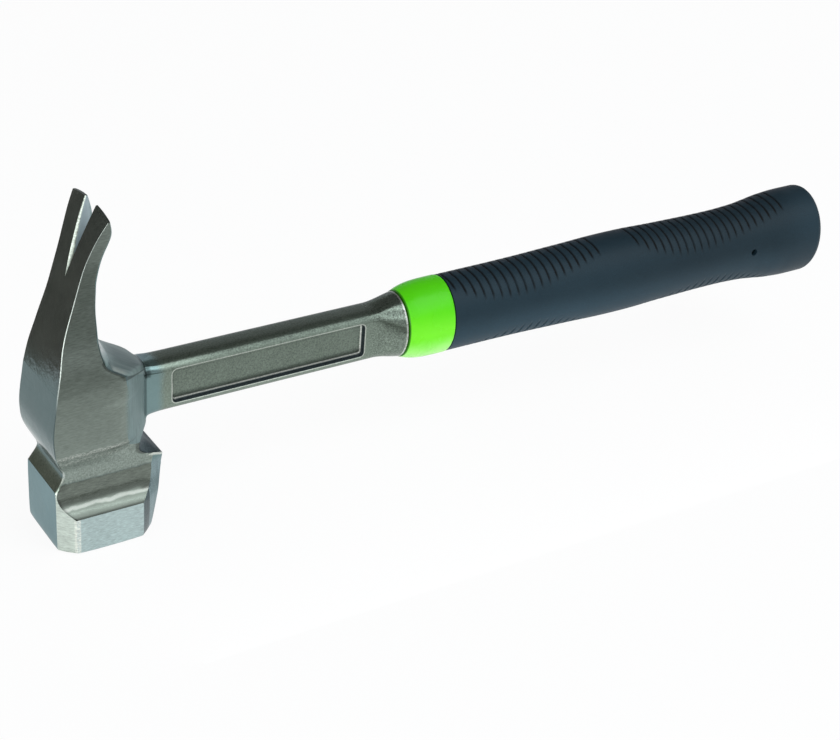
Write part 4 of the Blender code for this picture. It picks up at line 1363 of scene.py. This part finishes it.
# lighter also adds painted light to the poll's front next to the heel
lighter = neck_light + poll_front * heel_face * 0.55 + flange * 0.15
darker = brushed * region(z=(60, 86)) * 0.24 + top_edge * 0.43
height = (
    streaks * (brushed * 0.3 + wheel * 0.5)
    + pebbles * pebbled * 1.5
    + waves * (1 - pebbled) * 3
    + ripples * back_skin * 2.5
)
feed(surface, {
    "Base Color": skin.scaled((1 + marks + lighter - darker) * (1 - dark.clamp())),
    "Roughness": roughness - pebbled * on_flare * FLARE_SHINE + swing(streaks) * STREAK_SHINE,
    "Metallic": 1.0,
    "Normal": relief(height, RELIEF_STRENGTH, RELIEF_DEPTH),
})
forging.data.materials.clear()
forging.data.materials.append(forged_steel)
print("steel nodes:", len(forged_steel.node_tree.nodes))

# %% [markdown]
# The collar is a hard, glossy plastic in a bright green. Moulded gloss is never quite even, so its colour
# and its shine drift a little, and very faint ripples bend the reflections. Its colour is deeper on top
# as painted shade and paler underneath as painted light, and painted shade darkens the narrow gap
# beside the steel.

# %% Green plastic
GREEN = (0.138, 0.660, 0.012, 1.0)
SHADED_TOP_GREEN = (0.072, 0.545, 0.001, 1.0)
LIT_UNDERSIDE_GREEN = (0.370, 0.840, 0.210, 1.0)
SHADED_GREEN = (0.020, 0.150, 0.001, 1.0)
DRIFT_REACH = 5

green_plastic = bpy.data.materials.new("green_plastic")
surface, spot = new_finish(green_plastic)
x, _, z = places(spot)
drift = noise(spot, 90.0, detail=2.0)
drifting = z - axis_height + swing(drift) * DRIFT_REACH
# painted shade on the top and painted light underneath
upper, lit_underside = drifting.ramp(-1, 12), drifting.ramp(-2, -14)
# painted shade in the narrow gap beside the steel
gap = (x - COLLAR_START / MM).ramp(0.7, 0.2)
green = lit_underside.blend(upper.blend(GREEN, SHADED_TOP_GREEN), LIT_UNDERSIDE_GREEN)
feed(surface, {
    "Base Color": gap.blend(green, SHADED_GREEN),
    "Roughness": 0.27 + swing(drift) * 0.12,
    "Specular IOR Level": 0.22,
    "Normal": relief(noise(spot, 260.0, detail=2.0), 0.12, 0.1 * MM),
})
collar.data.materials.append(green_plastic)
print("green nodes:", len(green_plastic.node_tree.nodes))

# %% [markdown]
# The rubber is a dark navy with a satin skin. Close up it has a fine moulded grain, which scatters the
# light into a soft band. The two groove attributes paint shade into the bottoms of the grooves and their
# upper ends, and a painted highlight makes the lower ends pale. The front is a little lighter than the
# middle, and painted light makes the side that faces the floor the lightest and the top a little darker.

# %% Navy rubber
NAVY = (0.0085, 0.0225, 0.0330, 1.0)
PALE_NAVY = (0.0115, 0.0280, 0.0400, 1.0)
# colours of the painted shade and the painted highlight in the grooves
GROOVE_SHADE_COLOUR = (0.0020, 0.0035, 0.0045, 1.0)
GROOVE_HIGHLIGHT_COLOUR = (0.0300, 0.0480, 0.0600, 1.0)

surface, spot = new_finish(navy_rubber)
x, _, z = places(spot)
grain, drift = noise(spot, 2600.0, detail=2.0, rough=0.6), noise(spot, 40.0)
groove, ends = (attribute(spot, name) for name in GROOVE_ATTRIBUTES)
height = z - axis_height
above = height.ramp(-8, 0)
# painted shade in the grooves, deeper on the upper side
painted_groove_shade = (groove * (0.4 + height.ramp(10, 15) * 0.9) + ends * 0.6) * (0.45 + above * 0.55)
# painted highlight on the grooves' lower ends
painted_groove_highlight = ends * (1 - above) * 0.6
along_grip = 1.12 - x.ramp(200, 290) * 0.24 + x.ramp(325, 345) * 0.12
# painted light on the side that faces the floor, and painted shade on top
painted_underside_light = (0.33 - height.ramp(-7, 5) * 0.53) * x.ramp(338, 318)
rubber = drift.blend(NAVY, PALE_NAVY).scaled((along_grip + swing(grain) * 0.9) * (1 + painted_underside_light))
feed(surface, {
    "Base Color": painted_groove_highlight.blend(painted_groove_shade.clamp().blend(rubber, GROOVE_SHADE_COLOUR), GROOVE_HIGHLIGHT_COLOUR),
    "Roughness": 0.46 + (swing(drift) + swing(grain)) * 0.1 + groove * 0.25,
    "Specular IOR Level": 0.16,
    "Normal": relief(grain, 0.2, 0.06 * MM),
})
print("rubber nodes:", len(navy_rubber.node_tree.nodes))

# %% [markdown]
# The hard core fills the grip and shows only at the bottom of the small hole. It keeps its measured shape
# and gets a dull black plastic with a little mottling.

# %% Black core
BLACK = (0.006, 0.006, 0.007, 1.0)
GREY_BLACK = (0.011, 0.011, 0.012, 1.0)

core_black = bpy.data.materials.new("core_black")
surface, spot = new_finish(core_black)
mottle = noise(spot, 300.0)
feed(surface, {"Base Color": mottle.blend(BLACK, GREY_BLACK), "Roughness": 0.55 + swing(mottle) * 0.2})
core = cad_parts["grip_core"]
core.data.materials.clear()
core.data.materials.append(core_black)

# %% [markdown]
# Each finished piece now stands for the solid it was built over and rides on the same body. A rigid
# hammer has one body.

# %% Pieces take their places
BODY = "root"
for piece, node, slot in (
    (forging, "forged_body", "forged_steel"),
    (collar, "collar_ring", "collar_plastic"),
    (grip, "grip_sleeve", "grip_rubber"),
):
    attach(piece, BODY)
    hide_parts(node)
    print(piece.name, "stands for", node)

# %% [markdown]
# The stage is made of sheets: a floor, and later some cards to reflect.

# %% Sheets of the stage
UPRIGHT, FLAT = (math.pi / 2, 0, 0), (0, 0, 0)


def sheet(name, size, place, turn, colour):
    """A flat rectangle with a plain dull finish, kept out of the object."""
    mesh = bpy.data.meshes.new(name)
    half_x, half_y = size[0] / 2, size[1] / 2
    corners = [(-half_x, -half_y, 0), (half_x, -half_y, 0), (half_x, half_y, 0), (-half_x, half_y, 0)]
    mesh.from_pydata(corners, [], [(0, 1, 2, 3)])
    obj = put(name, mesh)
    obj.location = place
    obj.rotation_euler = turn
    mesh.materials.append(bpy.data.materials.new(name))
    surface, spot = new_finish(mesh.materials[0])
    feed(surface, {"Base Color": colour, "Roughness": 0.9, "Specular IOR Level": 0.1})
    obj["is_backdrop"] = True
    return obj, Wire(spot.tree, surface.outputs[0]), spot


def mix_surfaces(share, first, second):
    """Ends a material in a mix of two shaders."""
    mixed = share.add("ShaderNodeMixShader", {0: share, 1: first, 2: second})
    share.tree.links.new(mixed.socket, share.tree.nodes["Material Output"].inputs["Surface"])


print("sheets lie flat or stand upright, turned by", [round(angle, 2) for angle in UPRIGHT])

# %% [markdown]
# A white sweep and large soft lights suit a product shot. The floor would come out pale grey, so what the
# camera and the reflections see of it is lifted towards white, while the light it gives stays the same.
# The room around is an even pale grey, the light of a large white tent.

# %% Floor and studio
FLOOR_SIZE = 40.0
FLOOR_DROP = 0.2 * MM
FLOOR_COLOUR = (0.93, 0.93, 0.93, 1.0)
FLOOR_LIFT = 0.92
GLOSSY_SHARE = 0.6
STUDIO = (0.60, 0.61, 0.62, 1.0)
WHITE = (1.0, 1.0, 1.0, 1.0)

floor, dull, spot = sheet("floor", (FLOOR_SIZE, FLOOR_SIZE), (0, 0, -FLOOR_DROP), FLAT, FLOOR_COLOUR)
rays = spot.add("ShaderNodeLightPath")
seen = rays.out("Is Camera Ray").most(rays.out("Is Glossy Ray") * GLOSSY_SHARE)
seen = seen.most(rays.out("Is Transmission Ray"))
glow = spot.add("ShaderNodeEmission", {"Color": WHITE, "Strength": 1.0})
mix_surfaces(seen * FLOOR_LIFT, dull, glow)

world = bpy.data.worlds.new("studio")
world.use_nodes = True
feed(world.node_tree.nodes["Background"], {"Color": STUDIO})
bpy.context.scene.world = world
bpy.context.scene.view_settings.view_transform = "Standard"
print("stage:", floor.name, "with", len(spot.tree.nodes), "nodes")

# %% [markdown]
# Two soft lights shape the form: one high in front, and a low wide one that brightens the undersides.
# Bare steel only looks like steel if it has something to reflect, so a wide white card stands in front
# and above, which only reflections see. Under the grip a small light stands for what a white floor throws
# back, and a very small one puts a glint on the edge of the poll.

# %% Lights and card
MIDDLE = (0.15, 0.0, 0.05)
# Each light: name, place, aim, size, power, colour, and the rays that miss it
LIGHTS = (
    ("key", (0.55, -0.80, 1.15), MIDDLE, (1.0, 1.0), 8.0, (0.90, 0.96, 1.0), ("glossy",)),
    ("low_front", (-1.10, -1.30, 0.25), MIDDLE, (1.4, 0.5), 10.0, (1.0, 0.99, 0.96), ()),
    ("card", (0.55, -1.05, 1.25), MIDDLE, (2.6, 1.7), 19.0, (0.93, 0.97, 1.0), ("diffuse",)),
    ("bounce", (0.21, -0.1, 0.004), (0.21, 0.0, 0.09), (0.42, 0.1), 0.18, (1.0, 1.0, 1.0),
     ("glossy", "camera")),
    ("glint", (0.048, -0.10, 0.13), (0.0, -0.017, 0.017), (0.07, 0.006), 0.006, (0.9, 0.96, 1.0),
     ("diffuse", "camera")),
)


def hide_from(obj, rays):
    for ray in rays:
        setattr(obj, "visible_" + ray, False)


for name, place, aim, size, power, colour, missed_by in LIGHTS:
    data = bpy.data.lights.new(name, "AREA")
    data.shape = "RECTANGLE"
    data.size, data.size_y = size
    data.energy = power
    data.color = colour
    light = put(name, data)
    light.location = place
    light.rotation_euler = (Vector(aim) - Vector(place)).to_track_quat("-Z", "Y").to_euler()
    hide_from(light, missed_by)

# %% [markdown]
# Photographers also stand dull grey cards, called flags, round bare steel, so that it has dark places to
# reflect. Ours are seen by reflections alone: they neither light nor shade the hammer, nor show in the
# picture. A flag's border fades out, which keeps hard edges out of the reflections.

# %% Flags
# Each flag: name, size, place, turn, colour and the width of its fading border
FLAGS = (
    ("flag_left", (0.58, 0.42), (-0.31, 0.165, 0.14), UPRIGHT, (0.20, 0.175, 0.15, 1.0), 0.03),
    ("flag_behind", (3.0, 0.95), (0.6, 0.60, 0.86), UPRIGHT, (0.13, 0.125, 0.12, 1.0), 0.1),
    ("flag_top", (2.4, 1.2), (0.5, 0.12, 1.2), FLAT, (0.17, 0.17, 0.16, 1.0), 0.05),
    ("flag_right", (1.6, 0.50), (0.9, 0.60, 0.21), UPRIGHT, (0.38, 0.37, 0.40, 1.0), 0.08),
    ("flag_floor", (0.9, 0.66), (0.1, -0.43, 0.001), FLAT, (0.32, 0.32, 0.30, 1.0), 0.06),
    ("flag_left_floor", (0.5, 0.16), (-0.27, 0.095, 0.001), FLAT, (0.70, 0.70, 0.70, 1.0), 0.04),
)
for name, size, place, turn, colour, border in FLAGS:
    flag, dull, spot = sheet(name, size, place, turn, colour)
    hide_from(flag, ("camera", "diffuse", "shadow", "transmission"))
    along, across, _ = spot.axes()
    from_ends = size[0] / 2 - along.math("ABSOLUTE")
    from_sides = size[1] / 2 - across.math("ABSOLUTE")
    clear = spot.add("ShaderNodeBsdfTransparent")
    mix_surfaces(from_ends.ramp(0.0, border) * from_sides.ramp(0.0, border), clear, dull)
print("flags:", len(FLAGS))

# %% [markdown]
# Before finishing we print the box of the measured model and that of the dressed one. They should
# agree, because looks never change a size.

# %% Print the sizes and finish
dressed_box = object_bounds()
boxes = {"cad": [list(corner) for corner in CAD_BOX], "visual": [list(corner) for corner in dressed_box]}
for label, (lowest, highest) in boxes.items():
    print(label, [round((b - a) / MM, 2) for a, b in zip(lowest, highest)], "mm")
